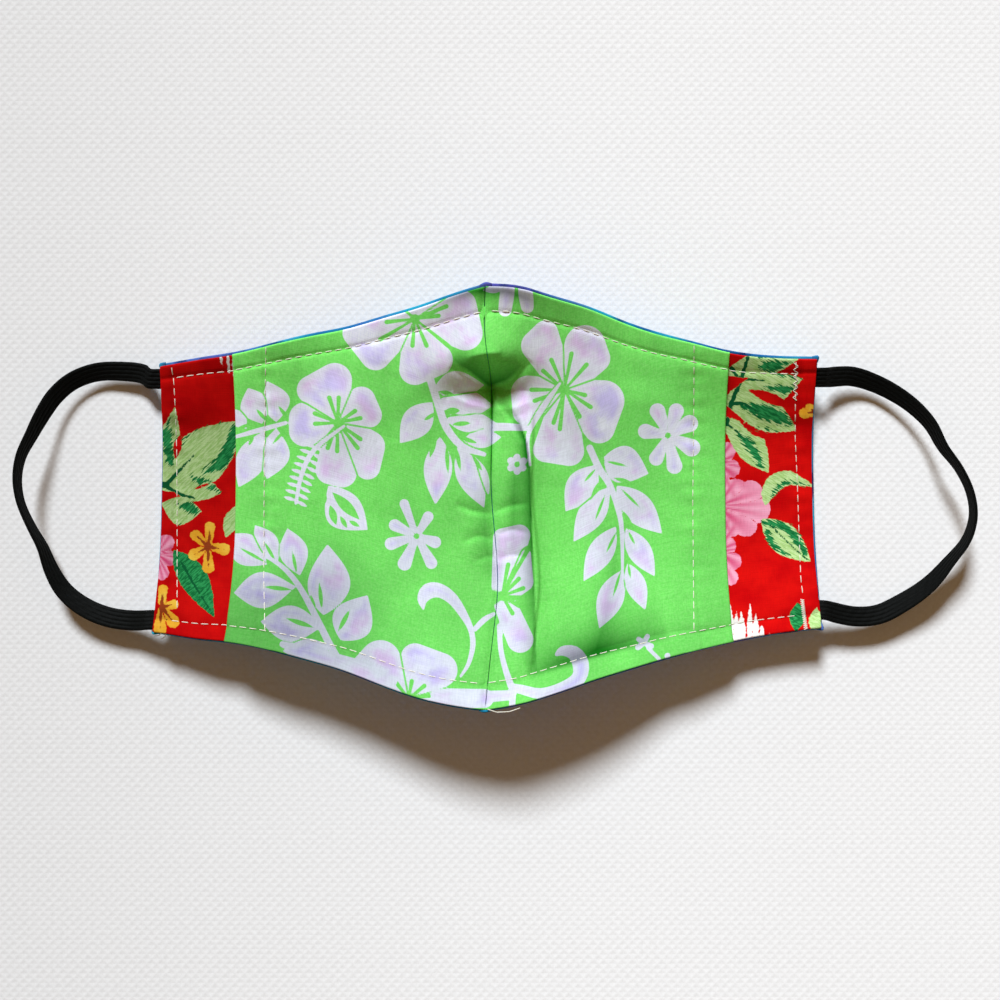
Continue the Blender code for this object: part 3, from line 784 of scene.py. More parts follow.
# White strokes where the paint ends: base, tip and width.
WHITE_STROKES = (
    ((73.5, -48), (73, -32.5), 1.8),
    ((75.3, -48), (75, -35), 2.0),
    ((77.2, -48), (76.6, -35.5), 2.2),
    ((79.2, -48), (79.4, -33), 1.6),
    ((81.2, -48), (81.2, -36), 2.0),
    ((83.2, -48), (83.2, -39), 1.6),
    ((86, -48), (85.5, -41.5), 1.0),
    ((89.5, -48), (89, -42), 0.9),
    ((-86.5, 47), (-86, 39), 0.9),
    ((-84.6, 47.5), (-84.2, 37.5), 1.1),
    ((-89, 46.5), (-88, 42.5), 0.7),
)
WHITE_GROUND = ((72, -47.5, 7.0), (82, -46.5, 6.0), (89, -45.5, 1.5))
SHADE_INSET = 0.3
GOLD_PETAL_GAP = 0.12
HEART_RAY = (1.4, 0.1)
PINK_RAY_LENGTH = 13.0


def red_leaves(u, v):
    """Distance to the pale leaves of the red print."""
    leaves = np.maximum(nearest(u, v, leaf, RED_LEAVES), -nearest(u, v, leaf, RED_GAPS))
    return np.minimum(leaves, ribbon(u, v, *CRESCENT))


def deep_leaves(u, v):
    """Distance to the dark leaves of the red print."""
    return nearest(u, v, leaf, DEEP_LEAVES)


def red_shades(u, v):
    """Distance to the leaves' dark shading, which stops short of their edges."""
    shades = nearest(u, v, ribbon, (*RED_SHADES, CRESCENT_SHADE))
    return np.maximum(shades, np.minimum(red_leaves(u, v), deep_leaves(u, v)) + SHADE_INSET)


def red_veins(u, v):
    """Distance to the leaves' dark veins."""
    veins = nearest(u, v, ribbon, RED_VEINS)
    return np.maximum(veins, np.minimum(red_leaves(u, v), deep_leaves(u, v)))


def gold_flowers(u, v):
    """Distance to the yellow flowers."""
    return np.minimum.reduce([petals(u, v, *sizes, GOLD_PETAL_GAP) for sizes in GOLD_FLOWERS])


def gold_hearts(u, v):
    """Distance to the brown rays in the yellow flowers."""
    rays = []
    for centre, discs in GOLD_FLOWERS:
        rays += [((*centre, HEART_RAY[0]), (du, dv, HEART_RAY[1])) for du, dv, _ in discs]
    return nearest(u, v, ribbon, rays)


def pink_petals(u, v):
    """Distance to the pink flowers."""
    return nearest(u, v, petals, PINK_PETALS)


def pink_rays(u, v):
    """Darker streaks that fan out over the pink petals: high on a streak, 0 between."""
    streaks = np.zeros(u.shape)
    for (cu, cv), _ in PINK_PETALS:
        turn = np.arctan2(v - cv, u - cu)
        fade = np.exp(-((np.hypot(u - cu, v - cv) / PINK_RAY_LENGTH) ** 2))
        streaks = np.maximum(streaks, fade * (0.55 + 0.45 * np.sin(turn * 17 + 2 * np.sin(turn * 5))))
    return streaks


def white_ground(u, v):
    """Distance to the bare white cloth where the red paint ends."""
    return np.minimum(nearest(u, v, leaf, WHITE_STROKES), ribbon(u, v, *WHITE_GROUND))


RED_LAYERS = {
    "leaf": red_leaves,
    "deep_leaf": deep_leaves,
    "leaf_shade": red_shades,
    "leaf_vein": red_veins,
    "gold": gold_flowers,
    "gold_heart": gold_hearts,
    "pink": pink_petals,
    "pink_ray": pink_rays,
    "white": white_ground,
}
RED_GROUND = ((0.50, 0.001, 0.002, 1.0), (0.64, 0.004, 0.003, 1.0))
PALE_LEAF = ((0.34, 0.56, 0.17, 1.0), (0.52, 0.72, 0.32, 1.0))
DEEP_LEAF = ((0.006, 0.14, 0.035, 1.0), (0.03, 0.32, 0.09, 1.0))
LEAF_VEIN = (0.004, 0.10, 0.03, 1.0)
PINK = ((0.88, 0.40, 0.54, 1.0), (0.62, 0.03, 0.14, 1.0))
GOLD = ((0.80, 0.36, 0.02, 1.0), (0.90, 0.58, 0.07, 1.0))
GOLD_HEART = (0.30, 0.05, 0.01, 1.0)
BARE_WHITE = (0.84, 0.80, 0.76, 1.0)
BRUSH_TURNS = (0.75, -0.5)
BRUSH_STRETCH = (4.0, 0.6, 1.0)
BRUSH_HAIRS = 2.4
BRUSH_TREMBLE = 0.5
LEFT_PANEL_TONE = 0.72

red_cotton, nodes, shader = new_finish("red_floral_cotton", COTTON_ROUGHNESS, LINING_GLOSS)
place = put(nodes, "ShaderNodeTexCoord")["Object"]
mottle = between(nodes, noise(nodes, place, 120.0, 3.0), 0.3, 0.7)
colour = blend_colours(nodes, mottle, *RED_GROUND)
brushed = []
for turn in BRUSH_TURNS:
    inputs = {"Vector": place, "Rotation": (0, 0, turn), "Scale": BRUSH_STRETCH}
    along_brush = put(nodes, "ShaderNodeMapping", inputs, vector_type="TEXTURE")[0]
    brushed.append(noise(nodes, along_brush, 1400.0, 2.0))
at_right = between(nodes, put(nodes, "ShaderNodeSeparateXYZ", {0: place})["X"], -0.01, 0.01)
hairs = put(nodes, "ShaderNodeMix", {0: at_right, 2: brushed[0], 3: brushed[1]})[0]
inputs = {"Value": hairs, "To Min": -BRUSH_HAIRS, "To Max": BRUSH_HAIRS}
hairs = put(nodes, "ShaderNodeMapRange", inputs)[0]
tremble = noise(nodes, place, 900.0, 2.0)
inputs = {"Value": tremble, "To Min": -BRUSH_TREMBLE, "To Max": BRUSH_TREMBLE}
tremble = put(nodes, "ShaderNodeMapRange", inputs)[0]
pale = blend_colours(nodes, between(nodes, hairs, -0.6, 0.6), *PALE_LEAF)
deep = blend_colours(nodes, between(nodes, hairs, -0.6, 0.6), *DEEP_LEAF)
rays = put(nodes, "ShaderNodeAttribute", attribute_name="pink_ray")["Fac"]
pink = blend_colours(nodes, rays, *PINK)
gold = blend_colours(nodes, mottle, *GOLD)
red_inks = (
    ("pink", tremble, pink),
    ("white", tremble, BARE_WHITE),
    ("leaf", tremble, pale),
    ("deep_leaf", tremble, deep),
    ("leaf_shade", hairs, deep),
    ("leaf_vein", tremble, LEAF_VEIN),
    ("gold", tremble, gold),
    ("gold_heart", tremble, GOLD_HEART),
)
for layer, uneven, ink in red_inks:
    colour = blend_colours(nodes, inked(nodes, layer, uneven), colour, ink)
side_tone = put(nodes, "ShaderNodeMapRange", {"Value": at_right, "To Min": LEFT_PANEL_TONE})[0]
colour = toned(nodes, toned(nodes, colour, side_tone), thread_tone(nodes, 0.92, 1.06))
nodes.links.new(colour, shader.inputs["Base Color"])
weave_bump(nodes, shader, INNER_WEAVE_PITCH, INNER_WEAVE_DEPTH)
for side in SIDES:
    cloth = lining_cloths[side]
    mark_print(cloth, RED_LAYERS)
    cloth.data.materials.clear()
    cloth.data.materials.append(red_cotton)
    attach(cloth, "root")
    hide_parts("side_panel_" + side)


# The filter pocket is green printed cotton in two halves on either side of the
# centre seam. Its mouths are hemmed, and a tuck lies along the seam's right side.
POCKET_CELL = 0.0005
POCKET_FOLD = 0.0005
POCKET_FOLD_HEIGHT = 0.0013
HEM = 0.010
SEAM_DITCH = 0.0010
SEAM_DITCH_WIDTH = 0.0012
# The pocket puffs away from the outer cloth below the nose edge: how high, and where
# and how far up and down as seen, in millimetres.
POCKET_PUFF = 0.003
PUFF_PLACE = 30
PUFF_ABOVE = 12
PUFF_BELOW = 20
POCKET_FOLDS = (
    # Puckers that the curved seam pulls, left of it and across the tucked strip.
    (((-14, -1.5), (-9, -3.5), (-2.5, -4.5)), 1.0, 4.5, 2.2),
    (((-12, -13.5), (-7, -11.5), (-1.5, -12.5)), 1.0, 4.5, 2.2),
    (((-9, -20), (-4, -18), (-0.5, -18.5)), 0.8, 3.5, 2.0),
    (((-2, -4), (3, -2), (9, -1)), 1.0, 4.5, 2.2),
    (((-1, -11), (4, -9.5), (9, -10.5)), 0.9, 3.5, 2.0),
    (((-1, -19), (4, -17.5), (9, -18.5)), 1.1, 4.0, 2.0),
    # Soft valleys in the left half and below the tuck.
    (((-36, 44), (-35, 32), (-34, 18)), 0.5, 6.0, 6.0),
    (((15, -31), (16.5, -40), (17, -48)), 0.8, 2.0, 5.0),
    # The tuck: its folded edge stands up, and the cloth dips beside it.
    (((10.8, -52), (10.5, -32), (9.8, -19), (9.5, -6), (9, 12), (8, 17), (5.1, 26)), -2.6, 9.0, 7.0),
    (((11.2, -52), (10.9, -32), (10.2, -19), (9.9, -6), (9.4, 12), (8.4, 17), (5.5, 26)), 0.6, 0.5, 2.2),
)
# Less light reaches the creases, so the cloth looks darker in them. Each is a row of
# points, how much light is lost, and how far that reaches to its left and right.
CREASE_SHADES = (
    # Dent below the nose edge, the edge above it, and the fold at its lower right.
    (((-17, 46), (-9, 41), (-3.5, 36.5), (2, 38.5), (7, 43)), 0.9, 10.0, 2.0),
    (((-20, 63.5), (-8, 66.5), (2, 66.3), (12, 62.8)), 1.0, 6.0, 5.0),
    (((2, 31), (6, 26), (8.2, 19), (9, 10)), 0.55, 0.6, 4.0),
    # Along the tuck, in the strip beside it and left of the seam.
    (((5, 27), (8.6, 18), (9.6, 8), (10, -10), (10.8, -30), (11.6, -56)), 0.95, 0.5, 8.0),
    (((4.5, 12), (4.2, 0), (4, -16)), 0.5, 6.0, 6.0),
    (((-4, 6), (-5, -6), (-3, -26)), 0.45, 5.0, 7.0),
    # Hollow above the chin border.
    (((9, -56), (19, -52.6), (28, -49.8), (38, -47), (54, -43)), 1.0, 17.0, 2.0),
    (((30, -50), (33.5, -38), (36, -24), (36, -8)), 0.4, 9.0, 9.0),
)


def pocket_puff(u, v):
    """How far the pocket stands away from the outer cloth."""
    width = np.where(v > PUFF_PLACE, PUFF_ABOVE, PUFF_BELOW)
    return POCKET_PUFF * np.exp(-(((v - PUFF_PLACE) / width) ** 2)) * (1 - rise(np.abs(u), 50, 68))


def pocket_relief(u, v, away):
    """The seams, hem, creases, tuck and wrinkles of the pocket's cloth."""
    relief = sewn_border(away["top"], u, NOSE_TROUGH) + sewn_border(away["bottom"], u + 4)
    relief = relief - STITCH_DENT * bump_line(away["outer"], HEM, STITCH_DENT_WIDTH)
    relief = relief + PUCKER * puckers(v) * bump_line(away["outer"], HEM, PUCKER_REACH)
    relief = relief - SEAM_DITCH * bump_line(away["inner"], 0, SEAM_DITCH_WIDTH)
    relief = relief + RUMPLE * rumples(u, v) + body_folds(u, v) + pocket_puff(u, v)
    return relief + sum(crease(u, v, *fold) for fold in POCKET_FOLDS)


pocket_cloths, pocket_edges, pocket_cuts = {}, {}, {}
for side, sign in SIDES.items():
    bed = tree_of(outer_tops[side], lining_cloths[side])
    pocket_cloths[side], pocket_edges[side], pocket_cuts[side] = lay_cloth(
        "filter_pocket_" + side, packed_face("pocket_panel_" + side, True), sign, POCKET_CELL,
        (SEAM_FOLD, POCKET_FOLD, POCKET_FOLD, POCKET_FOLD), pocket_relief, bed, POCKET_FOLD_HEIGHT,
    )

# The green print's open flowers: centre, discs of the petals and tips of the green
# stamen strokes, as seen from above in millimetres.
HIBISCUS = (
    (
        (-51.5, 24.5),
        (((-60, 35, 4.5), (-52.5, 38, 5.5)), ((-44, 31.5, 4.5), (-41.5, 27, 4)),
         ((-41.5, 17, 5), (-42, 10.5, 4)), ((-54, 9.5, 4.5), (-50, 8.5, 4.5)), ((-62, 26, 5), (-62, 22, 5))),
        ((-54.2, 32.5), (-51.2, 32.5), (-46, 28.3), (-44.3, 26), (-44.3, 19.3), (-45.2, 16.5), (-51.7, 15.5),
         (-54.7, 16.5), (-58.7, 24.2), (-58.8, 27.5)),
    ),
    (
        (-27, 57.5),
        (((-46, 53, 4), (-39.5, 46, 4.8)), ((-27, 41.5, 5), (-20, 44.5, 5)), ((-11, 53, 5.5), (-12, 62, 4.5)),
         ((-20, 66, 4), (-27, 67, 3))),
        ((-27.8, 49), (-23.3, 49), (-16.5, 49), (-38, 51), (-17, 61.5), (-19.5, 58.5), (-36, 56.5)),
    ),
    (
        (-29, -63),
        (((-38, -51, 6.5), (-45, -55, 4)), ((-27, -50, 4.5), (-19, -54, 5.5)), ((-15, -63, 3), (-5, -63, 3))),
        ((-28, -57.5), (-24, -59), (-33, -58), (-38, -60), (-21, -62)),
    ),
    (
        (0.6, -30.5),
        (((0.8, -12, 3), (6.2, -11.2, 3.4)), ((7.4, -17, 2.4), (7.6, -26, 3)),
         ((3.8, -38.5, 3.8), (6.4, -44.3, 4.2))),
        ((2.6, -20.5), (9, -15.5), (4.6, -22), (6, -25), (7.4, -28), (7.8, -31), (6, -33.6), (4, -36)),
    ),
    (
        (20.5, 35),
        (((11.5, 49, 4.8), (14.5, 53, 4)), ((27, 49, 6.5), (30.5, 45, 4.5)), ((33, 31.5, 6.5), (31.5, 23, 5)),
         ((14.5, 16, 4), (22, 15.5, 4.7)), ((9, 34, 5.5), (8, 28, 4))),
        ((16.3, 44.5), (13.7, 41), (10, 35), (11, 31.5), (17, 24.5), (19, 22.5), (25.3, 26.5), (28.8, 29.5),
         (27, 33.3), (27.5, 43), (22.7, 46.5)),
    ),
)
# Small flowers: centre and discs of the petals.
DAISIES = (
    ((-26.5, -11.5), ((-30.4, -1.2, 1.5), (-22.8, -5.3, 1.7), (-20.6, -13.4, 1.9), (-21.8, -20, 1.9),
                      (-30.3, -20.2, 2.2), (-34.6, -13.9, 2), (-33.4, -8, 1.9))),
    ((53.3, 20.5), ((50, 28.2, 2.5), (56, 28.3, 2.4), (60.2, 24.3, 2.7), (60.8, 16.6, 2.8), (55.4, 10.8, 2.5),
                    (49.6, 13.2, 2.3), (46.2, 21.8, 2.4))),
    ((5.4, 11.3), ((5.4, 13.6, 1.1), (7.5, 12.4, 1.1), (7.3, 10.2, 1.1), (5.4, 9.1, 1.1), (3.4, 10.2, 1.1),
                   (3.4, 12.5, 1.1))),
    ((45.7, -45.4), ((44, -44.2, 0.8), (46.8, -43.3, 0.8), (43.8, -46.8, 0.9), (48, -46.4, 0.9))),
    ((53, -49.5), ((53.2, -49.4, 0.9),)),
)
# The sprays' leaves: base, tip, width, widest and bend.
GREEN_LEAVES = (
    # Upper left spray.
    ((-75.5, 24.2), (-80, 35.6), 9.5), ((-71, 24.8), (-74, 37.8), 8.5, 0.9, -1.5),
    ((-75, 21.8), (-83, 4), 9.5), ((-71, 22.8), (-74, 6.6), 9.5, 1.0, 1.0), ((-80.5, 22.5), (-85.5, 29), 5.0),
    # Leaf below the upper left flower.
    ((-54.5, 4.5), (-42, -9.5), 12.0, 0.95, -1.7),
    # Spray at the seam.
    ((-21.5, 31), (-31.8, 18), 9.5, 0.9), ((-19, 20), (-20.5, -1.5), 9.0, 0.9),
    ((-13.5, 17), (-5, -2.5), 8.5, 0.9), ((-8, 14), (-3.5, 1.5), 4.0),
    ((-20.5, 36), (-5, 36.5), 9.5, 0.8), ((-19.5, 31), (-2.2, 30), 10.0, 0.85),
    ((-17, 25.5), (-1.2, 24.5), 7.0, 0.85), ((-12, 19), (0.5, 20), 6.0),
    # Lower left spray.
    ((-74, -20.5), (-87, -11), 10.0), ((-70.5, -19.5), (-77.8, -8), 7.5), ((-63.5, -24), (-67.5, -9), 9.0),
    ((-64.5, -27.5), (-84.5, -29.5), 11.5, 1.15), ((-56, -40), (-76, -38.6), 11.5, 1.1),
    ((-56, -36.5), (-54.8, -14), 13.5, 0.85, -1.2), ((-50.5, -44.5), (-42, -30.2), 13.0, 0.8),
    ((-53.5, -47), (-69, -48), 7.0),
    # Right spray.
    ((33, 13.5), (47.2, 8.3), 12.0, 0.8), ((37, 4.5), (51.5, -10.7), 9.5, 0.9),
    ((40, -9), (49.2, -24.3), 7.5, 0.9), ((40.5, -20), (46.2, -35), 6.5, 0.9),
    ((30.5, 11), (20.8, -3.6), 10.0, 0.9), ((34.5, 4), (23.3, -13.3), 8.5, 0.9),
    ((36.8, -8.5), (26.5, -25.8), 8.0, 0.9), ((38.3, -22.5), (31.5, -40.8), 8.3, 0.9),
    # Pieces of a flower that the nose edge cuts.
    ((-5.5, 66.5), (2, 67.5), 2.6),
)
# Green slivers between the leaves and inside them: base, tip and width.
SLIVERS = (
    ((-85, 21.5), (-79, 24.5), 1.2), ((-77.5, 29), (-74, 25), 1.2), ((-70.5, 30), (-67, 25.5), 1.2),
    ((-72.5, 17.5), (-68, 22.5), 1.0), ((-80, 17), (-78, 20.5), 1.0),
    ((-53.3, 2.5), (-44.5, -6.3), 3.4), ((-55.4, 2.4), (-56.2, -2), 1.6), ((-54, -1.5), (-52, -8), 2.4),
    ((-50.8, -5), (-48.5, -9), 1.5), ((-48, -6.5), (-44.5, -8.5), 1.4),
    ((-24.5, 25), (-20, 28), 1.2), ((-19.5, 34.5), (-14.5, 33.5), 1.4), ((-18, 28), (-12.5, 28.5), 2.2),
    ((-15.5, 24), (-9, 24.5), 1.5), ((-13, 20), (-7, 18), 1.3), ((-9, 14.5), (-5.5, 9), 1.2),
    ((-14, 17), (-12.5, 9), 1.3), ((-20, 20), (-22.5, 13), 1.3), ((-17, 18), (-16.5, 8), 1.3),
    ((-83, -15), (-74, -20), 1.0), ((-75, -13), (-71, -20), 1.1), ((-66, -16), (-64.5, -23.5), 1.1),
    ((-75, -27.5), (-66, -28.5), 1.4), ((-68, -37.5), (-59, -40.5), 1.6), ((-57.4, -26), (-56.5, -35), 1.3),
    ((-47.5, -34.5), (-51.5, -42), 1.5), ((-61, -49), (-56, -51), 1.0), ((-60, -30), (-58.5, -37), 1.4),
    ((33, 12.5), (41, 10.6), 0.9), ((38, 4), (45, -3), 0.9), ((40.5, -9.5), (43, -14.5), 0.9),
    ((40.7, -20), (41.4, -25), 0.9), ((30.5, 10), (26.5, 5.5), 0.9), ((33.5, 2), (30, -7), 0.9),
    ((37, -10), (33.6, -17), 0.9), ((38.5, -22), (35.8, -31), 0.9), ((36, 7), (42, 5.5), 1.3),
    ((38.6, -3), (42.5, -9), 1.2), ((39.2, -15), (41, -20), 1.2), ((35, -2), (34.5, -8), 1.3),
    ((38, -14), (37.4, -21), 1.2), ((31.5, 6), (28.8, 0), 1.2),
    ((5.6, 68), (5.6, 58.5), 1.2),
)
# Stems and scrolls as bands of (u, v, width).
STEMS = (
    ((-86, 19.5, 0.9), (-77, 22, 1.6), (-68, 24.5, 1.2)),
    ((3, 70, 3.6), (2.2, 65, 4.6), (1.6, 60.4, 4.2)),
    ((7.5, 70, 3.6), (8.2, 65, 4.6), (8.7, 61.3, 4.0)),
    ((-22.3, 38.8, 2.4), (-19.5, 30, 2.4), (-17, 23, 2.4), (-12, 17, 2.2), (-5, 14.5, 1.4)),
    ((-50, -53, 2.4), (-54, -46, 2.3), (-58, -38, 2.1), (-64, -27, 1.8), (-70, -20.5, 1.4), (-78, -16, 0.8)),
    ((28.5, 16.5, 2.2), (31.5, 10, 2.2), (35, 4.5, 2.0), (37.5, -3, 1.7), (38.7, -10, 1.4), (38.9, -25, 0.7)),
    ((-24.3, -34.8, 0.4), (-24.6, -31.5, 3.2), (-22.6, -28.9, 5), (-19, -28.8, 4.4), (-15, -31.5, 3.6),
     (-11.5, -36.5, 2.6), (-9.3, -41, 1.8), (-8.6, -46, 1.7), (-10, -52, 1.3), (-12.5, -56, 0.8)),
    ((-8, -41, 1.6), (-5, -38, 1.8), (-2, -36.2, 1.2)),
    ((-0.2, -40, 1.6), (0.2, -47, 1.6), (1.5, -53, 1.8), (3.5, -59, 2.2)),
    ((18, -49, 1.2), (20, -47.9, 3), (23.5, -48.6, 4.5), (25.6, -52, 5.2), (25, -56.5, 4.5), (20, -60, 4.5),
     (13, -61.5, 3.5), (7, -60.2, 3), (4, -59.5, 2.5)),
    ((-20, -62, 4), (-9, -62.6, 4), (3, -62, 3.2)),
    ((-69, -45.8, 2.0), (-60, -48.8, 4.4), (-50, -51.8, 5.0), (-42, -54.6, 6.0), (-35, -57, 5.0)),
    ((4.2, -60, 2.0), (3.8, -66, 2.0)),
    ((47, -47, 1.2), (50.5, -50.5, 1.2)),
    ((-4, 23.2, 2.6), (3, 23.2, 2.4), (9.5, 22.7, 1.6)),
)
# Pistils: a band of (u, v, width) with green lines on both its sides, and its hairs.
PISTILS = (
    ((-49.5, 23.5, 0.8), (-59, 16, 1.5), (-63, 8, 1.4), (-64.8, -1, 1.0)),
    ((19, 37, 0.8), (14, 30, 1.9), (9.6, 22.5, 1.5), (8.8, 18, 1.1), (9.6, 11, 0.8)),
)
PISTIL_LINE = 0.45
HAIR_ROOTS = (
    (-58.5, 16.8), (-59.6, 14.8), (-60.6, 12.7), (-61.5, 10.6), (-62.3, 8.5), (-63, 6.4), (-63.6, 4.2),
    (-64.2, 2), (-64.7, -0.2),
)
HAIR_WAYS = ((-4.2, 1.3), (3.6, -2.0))
HAIR_WIDTH = 1.2
PETAL_GAP = 0.28
PETAL_ROOT = 3.4
LEAF_GAP = 0.28
STAMEN = (0.3, 0.72)
HEART = 1.5
DAISY_HEART = 0.9
HEARTED_DAISY = 6
LILAC_INSET = 1.5


def crease_shade(u, v):
    """Share of the light that is lost in the creases."""
    return sum(-1000 * crease(u, v, *shade) for shade in CREASE_SHADES)


def white_print(u, v):
    """Distance to the unprinted white and lilac motifs on the green cotton."""
    shape = parted([leaf(u, v, *sizes) for sizes in GREEN_LEAVES], LEAF_GAP)
    shape = np.maximum(shape, -nearest(u, v, leaf, SLIVERS))
    for centre, pairs, tips in HIBISCUS:
        root = (*centre, PETAL_ROOT)
        joined = [nearest(u, v, lobe, ((root, first), (root, last), (first, last))) for first, last in pairs]
        flower = parted(joined, PETAL_GAP)
        strokes = [lobe(u, v, (*centre, STAMEN[0]), (*tip, STAMEN[1])) for tip in tips]
        strokes.append(np.hypot(u - centre[0], v - centre[1]) - HEART)
        shape = np.minimum(shape, np.maximum(flower, -np.minimum.reduce(strokes)))
    for centre, discs in DAISIES:
        flower = petals(u, v, centre, discs)
        heart = np.hypot(u - centre[0], v - centre[1]) - DAISY_HEART * (len(discs) >= HEARTED_DAISY)
        shape = np.minimum(shape, np.maximum(flower, -heart))
    for band in PISTILS:
        pistil = ribbon(u, v, *band)
        shape = np.minimum(np.maximum(shape, PISTIL_LINE - pistil), pistil)
    pairs = itertools.product(HAIR_ROOTS, HAIR_WAYS)
    hairs = [((hu, hv), (hu + du, hv + dv), HAIR_WIDTH) for (hu, hv), (du, dv) in pairs]
    shape = np.minimum(shape, nearest(u, v, leaf, hairs))
    return np.minimum(shape, nearest(u, v, ribbon, STEMS))


GREEN_LAYERS = {"white": white_print, "crease_shade": crease_shade}
GREEN_GROUND = ((0.15, 0.66, 0.10, 1.0), (0.21, 0.73, 0.145, 1.0))
LILAC = ((0.56, 0.51, 0.82, 1.0), (0.69, 0.53, 0.79, 1.0))
LILAC_EDGE = 1.2
SOFT_WHITE = (0.70, 0.72, 0.81, 1.0)
CREASE_GREEN = (0.004, 0.15, 0.004, 1.0)
CREASE_WHITE = (0.16, 0.17, 0.20, 1.0)
# Painted shade darkens the cloth at the chin's left corner and towards the chin, and painted light brightens
# it towards the nose edge: from where to where, and by what factors.
PAINTED_SHADE_CORNER_WIDTH = (-0.062, -0.018, 0.56, 1.0)
PAINTED_SHADE_CORNER_HEIGHT = (-0.035, -0.005)
PAINTED_LIGHT_CHIN_TO_NOSE = (-0.05, 0.055, 0.80, 1.24)

green_cotton, nodes, shader = new_finish("green_printed_cotton", COTTON_ROUGHNESS)
place = put(nodes, "ShaderNodeTexCoord")["Object"]
mottle = between(nodes, noise(nodes, place, 1400.0, 3.0), 0.25, 0.75)
colour = blend_colours(nodes, mottle, *GREEN_GROUND)
cloudy = between(nodes, noise(nodes, place, 130.0, 5.0), 0.36, 0.62)
tint = between(nodes, noise(nodes, place, 42.0, 1.0), 0.42, 0.58)
lilac = blend_colours(nodes, tint, *LILAC)
inner = inked(nodes, "white", LILAC_INSET, LILAC_EDGE)
share = put(nodes, "ShaderNodeMath", {0: inner, 1: cloudy}, operation="MULTIPLY")[0]
white = blend_colours(nodes, share, SOFT_WHITE, lilac)
lost = put(nodes, "ShaderNodeAttribute", attribute_name="crease_shade")["Fac"]
colour = blend_colours(nodes, lost, colour, CREASE_GREEN)
white = blend_colours(nodes, lost, white, CREASE_WHITE)
colour = blend_colours(nodes, inked(nodes, "white"), colour, white)
spread = put(nodes, "ShaderNodeSeparateXYZ", {0: place})
# Painted shade at the chin's left corner, and painted shade and light from the chin to the nose edge,
# multiplied into the colour.
painted_corner_shade = between(nodes, spread["X"], *PAINTED_SHADE_CORNER_WIDTH)
painted_corner_shade = between(nodes, spread["Y"], *PAINTED_SHADE_CORNER_HEIGHT, painted_corner_shade, 1.0)
painted_nose_light = between(nodes, spread["Y"], *PAINTED_LIGHT_CHIN_TO_NOSE)
handled = between(nodes, noise(nodes, place, 55.0, 2.0), 0.3, 0.7, 0.90, 1.07)
colour = toned(nodes, toned(nodes, toned(nodes, colour, painted_nose_light), painted_corner_shade), handled)
colour = toned(nodes, colour, thread_tone(nodes, 0.91, 1.07))
nodes.links.new(colour, shader.inputs["Base Color"])
weave_bump(nodes, shader, INNER_WEAVE_PITCH, INNER_WEAVE_DEPTH)
for side in SIDES:
    cloth = pocket_cloths[side]
    mark_print(cloth, GREEN_LAYERS)
    cloth.data.materials.clear()
    cloth.data.materials.append(green_cotton)
    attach(cloth, "root")
    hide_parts("pocket_panel_" + side)


# The ear loops are black flat braided elastic with lengthwise ribs. Their ends are
# sewn in between the outer cloth and the lining, and each band twists onto its edge
# halfway round.
LOOP_RINGS = 340
LOOP_RIBS = 5
RIB_POINTS = 9
RIB_GROOVE = 0.30
EDGE_ROUNDING = 6
SHARP_ANGLE = 60
BRAID_PITCH = 0.0009
BRAID_DEPTH = 0.00012
BRAID_STRENGTH = 0.5
ELASTIC_BLACK = ((0.0008, 0.0012, 0.001, 1.0), (0.004, 0.0045, 0.004, 1.0))


def loop_sections(node):
    """The four corners of each section of a packed loop, from one end to the other."""
    shape = bmesh.new()
    shape.from_mesh(frame["nodes"][node].data)
    bmesh.ops.remove_doubles(shape, verts=shape.verts, dist=MERGE_DISTANCE)
    joined = {vert.index: {edge.other_vert(vert).index for edge in vert.link_edges} for vert in shape.verts}
    points = np.array([vert.co for vert in shape.verts])
    shape.free()
    fewest = sorted(joined, key=lambda k: (len(joined[k]), k))[0]
    nearby = joined[fewest].union(*(joined[k] for k in joined[fewest])) - {fewest}
    groups = [[fewest, *others] for others in itertools.combinations(sorted(nearby), 3)]
    ring = next(group for group in groups if len(set().union(*(joined[k] for k in group))) == 8)
    sections, used = [points[ring]], set(ring)
    while True:
        following = sorted(set().union(*(joined[k] for k in ring)) - used)
        if not following:
            return np.array(sections)
        moved = points[ring] + points[following].mean(axis=0) - points[ring].mean(axis=0)
        orders = [list(order) for order in itertools.permutations(following)]
        ring = min(orders, key=lambda order: ((points[order] - moved) ** 2).sum())
        sections.append(points[ring])
        used |= set(ring)


black_elastic, nodes, shader = new_finish("black_braided_elastic", 0.7, 0.08)
place = put(nodes, "ShaderNodeAttribute", attribute_name="braid")["Vector"]
fibre = between(nodes, noise(nodes, place, 2400.0, 2.0), 0.35, 0.7)
colour = blend_colours(nodes, fibre, *ELASTIC_BLACK)
nodes.links.new(colour, shader.inputs["Base Color"])
inputs = {"Vector": place, "Scale": wave_scale(BRAID_PITCH), "Distortion": 1.2, "Detail": 1.0}
waves = put(nodes, "ShaderNodeTexWave", inputs, bands_direction="DIAGONAL")["Fac"]
emboss(nodes, shader, waves, BRAID_DEPTH, BRAID_STRENGTH)

